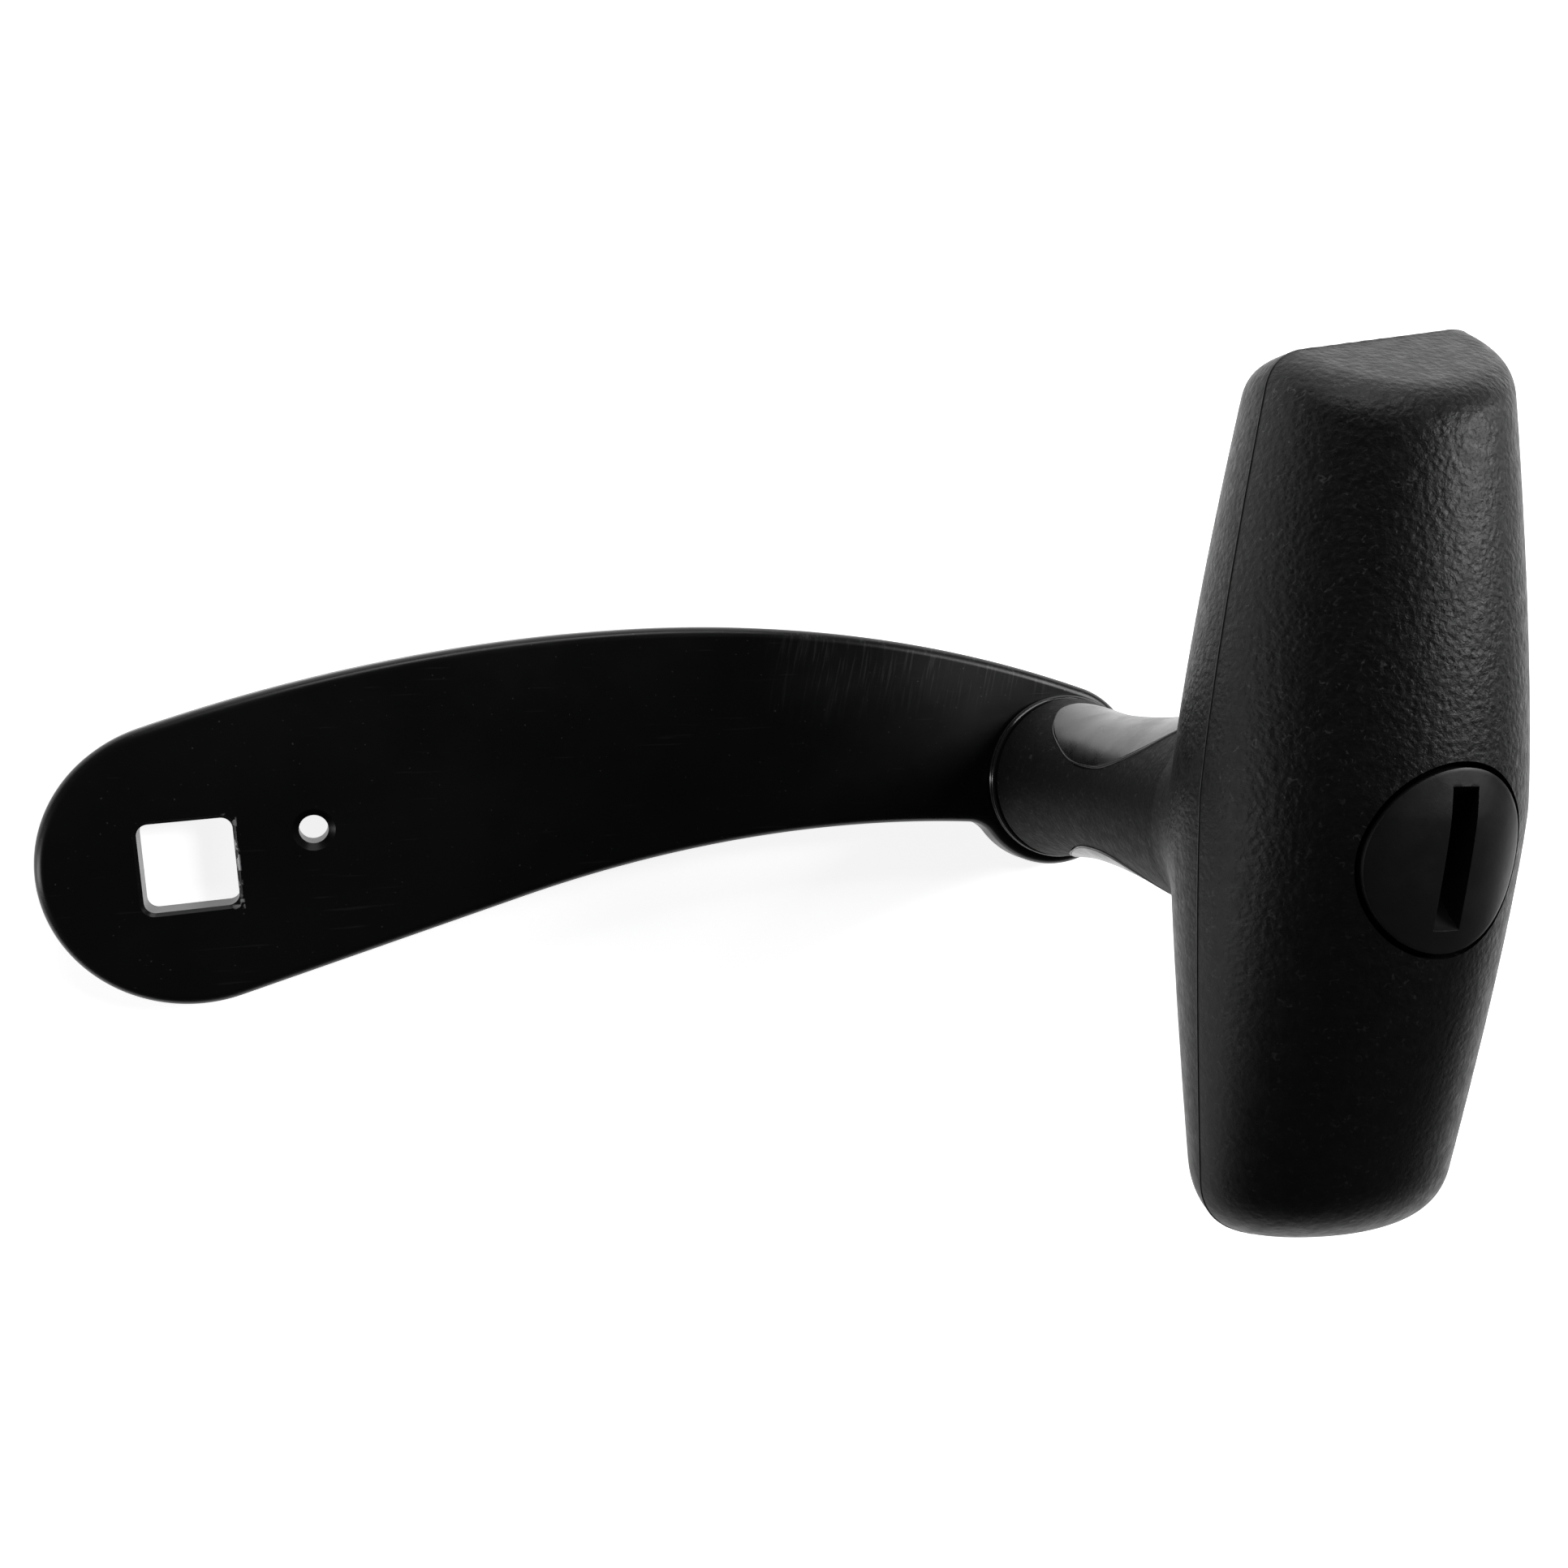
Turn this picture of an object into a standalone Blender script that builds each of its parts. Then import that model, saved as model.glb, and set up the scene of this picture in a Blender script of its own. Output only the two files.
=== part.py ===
"""Crank handle with a curved flat arm and a free-spinning T-bar knob.

The arm lies flat in the XY plane with its back face on z = 0.  The square drive
hole is centred on the origin, the knob's spindle stands at x = THROW, and +Z
points from the arm towards the knob.  Lengths are in metres.
"""
import math

import bmesh
import bpy
from mathutils import Matrix, Vector

# ---- driving dimensions -------------------------------------------------

THROW = 0.0877            # drive hole centre to spindle centre
ARM_THICK = 0.0038
ARM_EDGE = 0.0010         # rounding of the arm's rim
HUB_X = 0.0004            # the hub's round end is centred almost on the drive hole
HUB_R = 0.0129
BOSS_R = 0.0098           # round end of the arm under the knob
CREST_X = 0.0410          # highest point of the arm's upper edge
CREST_Y = 0.0185
BELLY_X = 0.0600          # highest point of the arm's lower, hollow edge
BELLY_Y = -0.0030
BELLY_R = 0.1350
BOSS_FILLET = 0.0040      # concave corner between lower edge and boss

DRIVE_SIDE = 0.0080       # square drive hole
DRIVE_CORNER = 0.0010
DRIVE_CHAMFER = 0.0003
LOCK_X = 0.0109           # locking screw hole beside the drive hole
LOCK_Y = 0.0021
LOCK_BORE_R = 0.0013
LOCK_RIM_R = 0.0019

WASHER_R = 0.0087
WASHER_THICK = 0.0011
SHOULDER_R = 0.0034       # spindle foot that stands on the arm
JOURNAL_R = 0.00245       # spindle where the bearings run
SPINDLE_TOP = 0.0423
SEAT_GAP = 0.0001         # two flat pieces laid on each other
FIT_GAP = 0.0003          # a piece and the hole cut to its shape

REAR_SCREW_R = 0.0020     # countersunk screw from the arm's back
REAR_HEAD_R = 0.0040
REAR_SCREW_END = 0.0110
TOP_SCREW_R = 0.0013      # screw that keeps the upper bearing on
TOP_SCREW_LONG = 0.0090
KEEPER_THICK = 0.0007

BEARING_BORE_R = 0.0025
BEARING_OUTER_R = 0.0050
BEARING_HALF = 0.0020     # half of the bearing's width
BALL_R = 0.00075
BALL_PITCH_R = 0.00375
BALL_COUNT = 7
LOWER_BEARING_Z = 0.0086
UPPER_BEARING_Z = 0.0400

KNOB_TURN = math.radians(-5.0)   # the way the free knob happens to stand
NECK_FOOT_Z = 0.0052      # lower end of the knob
NECK_FOOT_R = 0.0084
NECK_WAIST_R = 0.0073
NECK_WAIST_Z = 0.0160
NECK_TOP_R = 0.0112       # the flare ends inside the T-bar, so it runs into the bar's sides
NECK_TOP_Z = 0.0430
CORE_R = 0.0059           # hard tube inside the knob
CORE_BORE_R = 0.0044
CORE_TOP = 0.0524
PAD_TURN = math.radians(12.0)    # the pads sit a little round from the bar's line
PAD_WIDE = 0.0062         # half width and half height of the neck's two oval pads
PAD_TALL = 0.0135
PAD_MID_Z = 0.0218
PAD_PROUD = 0.0001

BAR_Z = 0.0484            # T-bar's own axis above the arm's back face
BAR_HALF = 0.0339         # length over which each half tapers
BAR_SHIFT = 0.0033        # its middle lies a little above the spindle
BAR_WIDE_MID = 0.0134     # half widths, then front and back depths
BAR_WIDE_TOP = 0.0094
BAR_WIDE_LOW = 0.0108
BAR_FRONT_MID = 0.0122
BAR_BACK_MID = 0.0132
BAR_DEEP_TOP = 0.0089
BAR_DEEP_LOW = 0.0064
BAR_TAPER = 1.35          # power of the taper from the middle to the ends
BAR_SQUARE = 0.0250       # past here each half runs on straight to its end faces
# Each end has two flat faces that meet in a ridge at the mould's parting line:
# side, ridge from the bar's middle, its rise across the bar, front draft, back
# draft, and the rounding of the rim.
BAR_ENDS = (
    (1.0, 0.0349, 0.196, 0.55, 0.05, 0.0010),
    (-1.0, 0.0353, 0.016, 0.25, 0.25, 0.0022),
)

CAP_R = 0.0068
CAP_GAP = 0.00045         # dark ring round the cap
CAP_PROUD = 0.0001
CAP_FLOOR_Z = 0.0541      # underside of the cap's disc
SPIGOT_R = 0.0046
SPIGOT_END = 0.0470
SLOT_WIDE = 0.0023
SLOT_LONG = 0.0108
SLOT_DEEP = 0.0034


# ---- collections, materials and plain helpers ---------------------------

for old in list(bpy.data.objects):
    bpy.data.objects.remove(old, do_unlink=True)

parts = bpy.data.collections.new("crank_handle")
cutters = bpy.data.collections.new("cutters")
for group in (parts, cutters):
    bpy.context.scene.collection.children.link(group)


def material(name, colour, metallic, roughness):
    """Return a Principled material, made once for each name."""
    found = bpy.data.materials.get(name)
    if found:
        return found
    made = bpy.data.materials.new(name)
    made.use_nodes = True
    shader = made.node_tree.nodes["Principled BSDF"]
    shader.inputs["Base Color"].default_value = (*colour, 1.0)
    shader.inputs["Metallic"].default_value = metallic
    shader.inputs["Roughness"].default_value = roughness
    return made


ANODISED = material("black_anodised_aluminium", (0.020, 0.020, 0.022), 0.75, 0.32)
STEEL = material("stainless_steel", (0.62, 0.62, 0.60), 1.0, 0.28)
BEARING_STEEL = material("bearing_steel", (0.66, 0.66, 0.66), 1.0, 0.18)
CAGE_BRASS = material("cage_brass", (0.72, 0.55, 0.26), 1.0, 0.35)
ACETAL = material("black_acetal", (0.030, 0.030, 0.031), 0.0, 0.30)
HARD_NYLON = material("black_hard_nylon", (0.022, 0.022, 0.023), 0.0, 0.18)
SOFT_GRIP = material("black_soft_grip", (0.028, 0.028, 0.029), 0.0, 0.62)
SEAL_RUBBER = material("black_seal_rubber", (0.015, 0.015, 0.015), 0.0, 0.75)


def add_object(name, mesh, look=None, group=parts):
    """Put a mesh in the scene under a name, as a part or as a hidden cutter."""
    body = bpy.data.objects.new(name, mesh)
    group.objects.link(body)
    if look:
        mesh.materials.clear()
        mesh.materials.append(look)
    if group is cutters:
        body.hide_render = True
        body.display_type = 'WIRE'
    return body


def smooth(mesh, degrees=32.0):
    """Shade a round piece smooth and keep its real corners sharp."""
    mesh.shade_smooth()
    mesh.set_sharp_from_angle(angle=math.radians(degrees))


def cut(body, cutter, operation='DIFFERENCE'):
    """Add an exact Boolean to a body."""
    tool = body.modifiers.new(f"{operation.lower()}_{cutter.name}", 'BOOLEAN')
    tool.object = cutter
    tool.operation = operation
    tool.solver = 'EXACT'
    return tool


def turned(name, profile, look=None, group=parts, steps=40, closed=False):
    """Turn a profile of (radius, height) points about Z with a Screw modifier.

    An open profile starts and ends on the axis.  A closed one is a ring's section.
    """
    mesh = bpy.data.meshes.new(name)
    points = [(radius, 0.0, height) for radius, height in profile]
    edges = [(i, i + 1) for i in range(len(points) - 1)]
    if closed:
        edges.append((len(points) - 1, 0))
    mesh.from_pydata(points, edges, [])
    body = add_object(name, mesh, look, group)
    spin = body.modifiers.new("turn", 'SCREW')
    spin.steps = steps
    spin.render_steps = steps
    spin.axis = 'Z'
    spin.use_merge_vertices = True
    spin.merge_threshold = 0.00001
    spin.use_smooth_shade = True
    return body


def ring(name, inner, outer, low, high, look, chamfer=0.0, steps=40):
    """A plain turned ring, with its outer corners broken by a chamfer."""
    profile = [(inner, high), (outer - chamfer, high)]
    if chamfer:
        profile.append((outer, high - chamfer))
        profile.append((outer, low + chamfer))
    else:
        profile.append((outer, high))
    profile.append((outer - chamfer, low))
    profile.append((inner, low))
    return turned(name, profile, look, steps=steps, closed=True)


def loft(name, sections, look=None, group=parts):
    """Skin a row of equal-count closed sections and close both ends."""
    shape = bmesh.new()
    rows = [[shape.verts.new(point) for point in section] for section in sections]
    count = len(rows[0])
    for low, high in zip(rows, rows[1:]):
        for i in range(count):
            j = (i + 1) % count
            shape.faces.new((low[i], low[j], high[j], high[i]))
    shape.faces.new(rows[0][::-1])
    shape.faces.new(rows[-1])
    bmesh.ops.recalc_face_normals(shape, faces=shape.faces)
    mesh = bpy.data.meshes.new(name)
    shape.to_mesh(mesh)
    shape.free()
    return add_object(name, mesh, look, group)


def stand_at(body, x, y=0.0, z=0.0):
    body.location = (x, y, z)
    return body


# ---- crank arm ----------------------------------------------------------

def arc(centre, radius, start, end, count):
    """Points along an arc, from one angle to another, both in radians."""
    step = (end - start) / count
    angles = [start + step * i for i in range(count + 1)]
    return [(centre[0] + radius * math.cos(a), centre[1] + radius * math.sin(a)) for a in angles]


def bearing_of(centre, point):
    return math.atan2(point[1] - centre[1], point[0] - centre[0])


def circles_cross(first, first_r, second, second_r):
    """The upper-left crossing of two circles."""
    dx = second[0] - first[0]
    dy = second[1] - first[1]
    apart = math.hypot(dx, dy)
    along = (apart ** 2 + first_r ** 2 - second_r ** 2) / (2.0 * apart)
    aside = math.sqrt(first_r ** 2 - along ** 2)
    x = first[0] + (dx * along - dy * aside) / apart
    y = first[1] + (dy * along + dx * aside) / apart
    return x, y


def radius_through(point_x, point_y, circle_x, circle_r):
    """Radius of an arc with its crest at a point that also closes round a circle on the X axis."""
    reach = (point_x - circle_x) ** 2 + point_y ** 2 - circle_r ** 2
    return reach / (2.0 * (point_y - circle_r))


def straight_between(first, first_r, second, second_r):
    """Turn at which a straight line leaves one circle's lower side for another's upper side."""
    apart = math.hypot(second[0] - first[0], second[1] - first[1])
    lean = math.acos((first_r + second_r) / apart)
    return bearing_of(first, second) - lean


def arm_outline():
    """The arm seen from the front, anticlockwise from the top of the hub.

    Two long arcs meet at the crest of the upper edge and touch hub and boss.  A
    straight and a hollow arc make the lower edge, and a small fillet leads it into
    the boss.
    """
    hub = (HUB_X, 0.0)
    boss = (THROW, 0.0)
    rear_r = radius_through(CREST_X, CREST_Y, HUB_X, HUB_R)
    front_r = radius_through(CREST_X, CREST_Y, THROW, BOSS_R)
    rear_arc = (CREST_X, CREST_Y - rear_r)
    front_arc = (CREST_X, CREST_Y - front_r)
    belly = (BELLY_X, BELLY_Y - BELLY_R)
    fillet = circles_cross(belly, BELLY_R - BOSS_FILLET, boss, BOSS_R + BOSS_FILLET)

    hub_top = bearing_of(rear_arc, hub)
    hub_low = straight_between(hub, HUB_R, belly, BELLY_R) + 2.0 * math.pi
    boss_low = bearing_of(boss, fillet) + 2.0 * math.pi
    boss_top = bearing_of(front_arc, boss) + 2.0 * math.pi
    half_turn = math.pi

    points = arc(hub, HUB_R, hub_top, hub_low, 32)
    points += arc(belly, BELLY_R, hub_low - half_turn, bearing_of(belly, fillet), 12)
    fillet_start = bearing_of(belly, fillet)
    fillet_end = boss_low - half_turn
    points += arc(fillet, BOSS_FILLET, fillet_start, fillet_end, 5)[1:]
    points += arc(boss, BOSS_R, boss_low, boss_top, 24)[1:]
    points += arc(front_arc, front_r, boss_top - 2.0 * half_turn, half_turn / 2.0, 10)[1:]
    points += arc(rear_arc, rear_r, half_turn / 2.0, hub_top, 8)[1:-1]
    return points


def plate_from_outline(name, points, thickness, look):
    """A flat plate standing on z = 0, made as a filled 2D curve and then a mesh."""
    curve = bpy.data.curves.new(name + "_outline", 'CURVE')
    curve.dimensions = '2D'
    curve.fill_mode = 'BOTH'
    curve.extrude = thickness / 2.0
    spline = curve.splines.new('POLY')
    spline.points.add(len(points) - 1)
    for slot, point in zip(spline.points, points):
        slot.co = (point[0], point[1], 0.0, 1.0)
    spline.use_cyclic_u = True
    flat = bpy.data.objects.new(name + "_outline", curve)
    bpy.context.scene.collection.objects.link(flat)
    bpy.context.view_layer.update()
    ready = flat.evaluated_get(bpy.context.evaluated_depsgraph_get())
    mesh = bpy.data.meshes.new_from_object(ready)
    bpy.data.objects.remove(flat, do_unlink=True)
    shape = bmesh.new()
    shape.from_mesh(mesh)
    bmesh.ops.remove_doubles(shape, verts=shape.verts, dist=0.000001)
    bmesh.ops.dissolve_limit(shape, angle_limit=math.radians(0.5), verts=shape.verts, edges=shape.edges)
    bmesh.ops.translate(shape, vec=(0.0, 0.0, thickness / 2.0), verts=shape.verts)
    bmesh.ops.recalc_face_normals(shape, faces=shape.faces)
    shape.to_mesh(mesh)
    shape.free()
    mesh.name = name
    return add_object(name, mesh, look)


def rounded_square(side, corner, height, steps=5):
    """A square section with round corners at one height."""
    reach = side / 2.0 - corner
    points = []
    for turn in range(4):
        angle = turn * math.pi / 2.0
        sign_x = 1.0 if turn in (0, 3) else -1.0
        sign_y = 1.0 if turn in (0, 1) else -1.0
        centre = (sign_x * reach, sign_y * reach)
        points += arc(centre, corner, angle, angle + math.pi / 2.0, steps)
    return [(x, y, height) for x, y in points]


def build_arm():
    arm = plate_from_outline("crank_arm", arm_outline(), ARM_THICK, ANODISED)
    rim = arm.modifiers.new("rim_rounding", 'BEVEL')
    rim.width = ARM_EDGE
    rim.segments = 3
    rim.limit_method = 'ANGLE'
    rim.angle_limit = math.radians(60.0)
    wide = DRIVE_SIDE + 2.0 * (DRIVE_CHAMFER + 0.001)
    drive = loft("drive_cutter", [
        rounded_square(wide, DRIVE_CORNER + 0.001, -0.001),
        rounded_square(DRIVE_SIDE, DRIVE_CORNER, DRIVE_CHAMFER),
        rounded_square(DRIVE_SIDE, DRIVE_CORNER, ARM_THICK - DRIVE_CHAMFER),
        rounded_square(wide, DRIVE_CORNER + 0.001, ARM_THICK + 0.001),
    ], group=cutters)
    cut(arm, drive)
    sink = LOCK_RIM_R - LOCK_BORE_R
    lock = turned("lock_cutter", [
        (0.0, ARM_THICK + 0.001),
        (LOCK_RIM_R + 0.001, ARM_THICK + 0.001),
        (LOCK_BORE_R, ARM_THICK - sink),
        (LOCK_BORE_R, -0.001),
        (0.0, -0.001),
    ], group=cutters, steps=24)
    cut(arm, stand_at(lock, LOCK_X, LOCK_Y))
    rear = turned("rear_screw_cutter", [
        (0.0, ARM_THICK + 0.001),
        (REAR_SCREW_R + FIT_GAP, ARM_THICK + 0.001),
        (REAR_SCREW_R + FIT_GAP, REAR_HEAD_R - REAR_SCREW_R + FIT_GAP),
        (REAR_HEAD_R + FIT_GAP, FIT_GAP),
        (REAR_HEAD_R + FIT_GAP, -0.001),
        (0.0, -0.001),
    ], group=cutters, steps=32)
    cut(arm, stand_at(rear, THROW))
    smooth(arm.data, 25.0)
    return arm


# ---- spindle, its screws and washers ------------------------------------

def hex_socket(name, across_flats, low, high):
    """A six-sided key hole as a cutter."""
    mesh = bpy.data.meshes.new(name)
    shape = bmesh.new()
    radius = across_flats / math.sqrt(3.0)
    bmesh.ops.create_cone(shape, cap_ends=True, segments=6, radius1=radius, radius2=radius,
                          depth=high - low, matrix=Matrix.Translation((0.0, 0.0, (low + high) / 2.0)))
    shape.to_mesh(mesh)
    shape.free()
    return add_object(name, mesh, group=cutters)


def build_spindle():
    foot = ARM_THICK + SEAT_GAP
    step = LOWER_BEARING_Z - BEARING_HALF - SEAT_GAP
    rear_thread_r = REAR_SCREW_R + FIT_GAP / 2.0
    top_thread_r = TOP_SCREW_R + FIT_GAP / 2.0
    top_thread_end = SPINDLE_TOP - TOP_SCREW_LONG - FIT_GAP
    spindle = turned("spindle", [
        (top_thread_r, SPINDLE_TOP),
        (JOURNAL_R - 0.0002, SPINDLE_TOP),
        (JOURNAL_R, SPINDLE_TOP - 0.0002),
        (JOURNAL_R, step),
        (SHOULDER_R - 0.0002, step),
        (SHOULDER_R, step - 0.0002),
        (SHOULDER_R, foot),
        (rear_thread_r, foot),
        (rear_thread_r, REAR_SCREW_END + FIT_GAP),
        (0.0006, REAR_SCREW_END + 0.0012),
        (0.0006, top_thread_end - 0.0007),
        (top_thread_r, top_thread_end),
    ], STEEL, steps=32, closed=True)
    stand_at(spindle, THROW)


def build_rear_screw():
    """Countersunk socket screw, its head just under the arm's back face."""
    head_cone = REAR_HEAD_R - REAR_SCREW_R
    screw = turned("spindle_screw", [
        (0.0, REAR_SCREW_END),
        (REAR_SCREW_R - 0.0004, REAR_SCREW_END),
        (REAR_SCREW_R, REAR_SCREW_END - 0.0004),
        (REAR_SCREW_R, 2.0 * FIT_GAP + head_cone),
        (REAR_HEAD_R, 2.0 * FIT_GAP),
        (REAR_HEAD_R, FIT_GAP),
        (0.0, FIT_GAP),
    ], STEEL, steps=32)
    stand_at(screw, THROW)
    cut(screw, stand_at(hex_socket("rear_key_cutter", 0.0025, -0.001, 0.0018), THROW))


def build_washers():
    low = ARM_THICK + SEAT_GAP
    washer = ring("thrust_washer", SHOULDER_R + 0.0002, WASHER_R, low, low + WASHER_THICK,
                  ACETAL, chamfer=0.0002, steps=40)
    stand_at(washer, THROW)
    sleeve_low = LOWER_BEARING_Z + BEARING_HALF + SEAT_GAP
    sleeve_high = UPPER_BEARING_Z - BEARING_HALF - SEAT_GAP
    sleeve = ring("spacer_sleeve", JOURNAL_R + 0.00015, 0.0032, sleeve_low, sleeve_high, ANODISED, steps=24)
    stand_at(sleeve, THROW)
    keeper_low = SPINDLE_TOP + SEAT_GAP
    keeper = ring("retaining_washer", TOP_SCREW_R + 0.0002, 0.0032, keeper_low, keeper_low + KEEPER_THICK,
                  STEEL, chamfer=0.0001, steps=24)
    stand_at(keeper, THROW)


def build_top_screw():
    """Button-head screw that holds the upper bearing on the spindle."""
    seat = SPINDLE_TOP + 2.0 * SEAT_GAP + KEEPER_THICK
    screw = turned("retaining_screw", [
        (0.0, seat + 0.0018),
        (0.0014, seat + 0.0018),
        (0.0023, seat + 0.0012),
        (0.0027, seat + 0.0003),
        (0.0027, seat),
        (TOP_SCREW_R, seat),
        (TOP_SCREW_R, SPINDLE_TOP - TOP_SCREW_LONG + 0.0003),
        (TOP_SCREW_R - 0.0003, SPINDLE_TOP - TOP_SCREW_LONG),
        (0.0, SPINDLE_TOP - TOP_SCREW_LONG),
    ], STEEL, steps=32)
    stand_at(screw, THROW)
    cut(screw, stand_at(hex_socket("top_key_cutter", 0.0020, seat + 0.0006, seat + 0.0030), THROW))


# ---- ball bearings ------------------------------------------------------

def groove(centre_r, radius, half_angle, inward):
    """Arc of a race's ball groove, as (radius, height) points from top to bottom."""
    side = -1.0 if inward else 1.0
    count = 4
    angles = [half_angle - 2.0 * half_angle * i / count for i in range(count + 1)]
    return [(centre_r + side * radius * math.cos(a), radius * math.sin(a)) for a in angles]


def build_bearing(prefix, height):
    """One shielded ball bearing: two races, two shields, a crown cage and its balls."""
    track = BALL_R + 0.00005
    land = 0.00050                      # pitch circle to the plain part of each race
    half_angle = math.acos(land / track)
    half = BEARING_HALF
    inner_land = BALL_PITCH_R - land
    outer_land = BALL_PITCH_R + land

    inner = [(BEARING_BORE_R, half), (inner_land, half)]
    inner += groove(BALL_PITCH_R, track, half_angle, True)
    inner += [(inner_land, -half), (BEARING_BORE_R, -half)]
    stand_at(turned(prefix + "_inner_race", inner, BEARING_STEEL, steps=24, closed=True), THROW, 0.0, height)

    outer = [(outer_land, half), (BEARING_OUTER_R, half), (BEARING_OUTER_R, -half), (outer_land, -half)]
    outer += groove(BALL_PITCH_R, track, half_angle, False)[::-1]
    stand_at(turned(prefix + "_outer_race", outer, BEARING_STEEL, steps=32, closed=True), THROW, 0.0, height)

    for word, side in (("upper", 1.0), ("lower", -1.0)):
        middle = side * (half - 0.0003)
        shield = ring(f"{prefix}_{word}_shield", inner_land + 0.0001, outer_land - 0.00005,
                      middle - 0.0001, middle + 0.0001, BEARING_STEEL, steps=24)
        stand_at(shield, THROW, 0.0, height)

    cage = ring(prefix + "_cage", inner_land + 0.00015, outer_land - 0.00015, -0.0002, 0.0012,
                CAGE_BRASS, steps=28)
    stand_at(cage, THROW, 0.0, height)
    cut(cage, stand_at(ball_pockets(prefix), THROW, 0.0, height))

    shared = ball_mesh()
    for i in range(BALL_COUNT):
        angle = 2.0 * math.pi * i / BALL_COUNT
        ball = add_object(f"{prefix}_ball_{i + 1}", shared)
        stand_at(ball, THROW + BALL_PITCH_R * math.cos(angle), BALL_PITCH_R * math.sin(angle), height)


def ball_mesh():
    """The mesh that all balls share."""
    found = bpy.data.meshes.get("bearing_ball")
    if found:
        return found
    mesh = bpy.data.meshes.new("bearing_ball")
    shape = bmesh.new()
    bmesh.ops.create_icosphere(shape, subdivisions=2, radius=BALL_R)
    shape.to_mesh(mesh)
    shape.free()
    mesh.shade_smooth()
    mesh.materials.append(BEARING_STEEL)
    return mesh


def ball_pockets(prefix):
    """Round pockets in a cage, one for each ball, as one cutter."""
    mesh = bpy.data.meshes.new(prefix + "_pocket_cutter")
    shape = bmesh.new()
    for i in range(BALL_COUNT):
        angle = 2.0 * math.pi * i / BALL_COUNT
        place = (BALL_PITCH_R * math.cos(angle), BALL_PITCH_R * math.sin(angle), 0.0)
        bmesh.ops.create_icosphere(shape, subdivisions=2, radius=BALL_R + 0.0001,
                                   matrix=Matrix.Translation(place))
    shape.to_mesh(mesh)
    shape.free()
    return add_object(prefix + "_pocket_cutter", mesh, group=cutters)


# ---- knob: hard core, soft T-bar grip, cap and seal ---------------------

def bar_half_sizes(y):
    """Half width, front depth and back depth of the T-bar at a distance along it, ends still square."""
    end_wide = BAR_WIDE_TOP if y > 0.0 else BAR_WIDE_LOW
    end_deep = BAR_DEEP_TOP if y > 0.0 else BAR_DEEP_LOW
    taper = (abs(y) / BAR_HALF) ** BAR_TAPER
    wide = BAR_WIDE_MID + (end_wide - BAR_WIDE_MID) * taper
    front = BAR_FRONT_MID + (end_deep - BAR_FRONT_MID) * taper
    back = BAR_BACK_MID + (end_deep - BAR_BACK_MID) * taper
    return wide, front, back


def bar_sections(grow=0.0, around=40):
    """Oval sections of the T-bar, past both ends, all of it grown by one amount."""
    half = [BAR_SQUARE * i / 6.0 for i in range(1, 7)] + [BAR_HALF + 0.006]
    sections = []
    for y in [-y for y in half[::-1]] + [0.0] + half:
        wide, front, back = bar_half_sizes(y)
        section = []
        for i in range(around):
            angle = 2.0 * math.pi * i / around
            depth = (front if math.sin(angle) > 0.0 else back) + grow
            height = BAR_Z + depth * math.sin(angle)
            section.append(((wide + grow) * math.cos(angle), y + BAR_SHIFT, height))
        sections.append(section)
    return sections


def cut_ends(bar):
    """Cut each end of the T-bar to two drafted faces and round their rim."""
    for side, reach, rise, front, back, rim_round in BAR_ENDS:
        shape = bmesh.new()
        shape.from_mesh(bar.data)
        ridge = (0.0, side * reach + BAR_SHIFT, BAR_Z)
        for facing, draft in ((1.0, front), (-1.0, back)):
            normal = Vector((-rise, side, facing * draft)).normalized()
            everything = shape.verts[:] + shape.edges[:] + shape.faces[:]
            cut_through = bmesh.ops.bisect_plane(shape, geom=everything, plane_co=ridge, plane_no=normal,
                                                 clear_outer=True, dist=0.0000001)
            rim = [item for item in cut_through['geom_cut'] if isinstance(item, bmesh.types.BMEdge)]
            bmesh.ops.edgeloop_fill(shape, edges=rim)
        outer = [face for face in shape.faces if side * face.normal.y > 0.75]
        rim = {edge for face in outer for edge in face.edges
               if any(other not in outer for other in edge.link_faces)}
        bmesh.ops.bevel(shape, geom=list(rim), offset=rim_round, offset_type='OFFSET', segments=2,
                        profile=0.5, affect='EDGES', clamp_overlap=True)
        bmesh.ops.recalc_face_normals(shape, faces=shape.faces)
        shape.to_mesh(bar.data)
        shape.free()


def pad_prism(name, grow):
    """An oval bar straight through the neck, whose two ends are the neck's pads."""
    sections = []
    for y in (-0.012, 0.012):
        section = []
        for i in range(28):
            angle = 2.0 * math.pi * i / 28
            section.append(((PAD_WIDE + grow) * math.cos(angle), y,
                            PAD_MID_Z + (PAD_TALL + grow) * math.sin(angle)))
        sections.append(section)
    prism = loft(name, sections, group=cutters)
    prism.rotation_euler = (0.0, 0.0, PAD_TURN)
    return prism


def neck_profile(grow=0.0):
    """The neck narrows from its foot to a waist and flares into the T-bar."""
    points = [(0.0, BAR_Z), (NECK_WAIST_R + grow, BAR_Z), (NECK_TOP_R + grow, NECK_TOP_Z)]
    count = 7
    for i in range(1, count + 1):
        share = 1.0 - i / count
        height = NECK_WAIST_Z + (NECK_TOP_Z - NECK_WAIST_Z) * share
        points.append((NECK_WAIST_R + grow + (NECK_TOP_R - NECK_WAIST_R) * share ** 2.0, height))
    foot_top = NECK_FOOT_Z + 0.0010
    for i in range(1, 4):
        share = i / 3.0
        height = NECK_WAIST_Z + (foot_top - NECK_WAIST_Z) * share
        points.append((NECK_WAIST_R + grow + (NECK_FOOT_R - NECK_WAIST_R) * share ** 1.6, height))
    points.append((NECK_FOOT_R + grow, NECK_FOOT_Z + 0.0003))
    points.append((NECK_FOOT_R + grow - 0.0003, NECK_FOOT_Z))
    points.append((0.0, NECK_FOOT_Z))
    return points


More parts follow.
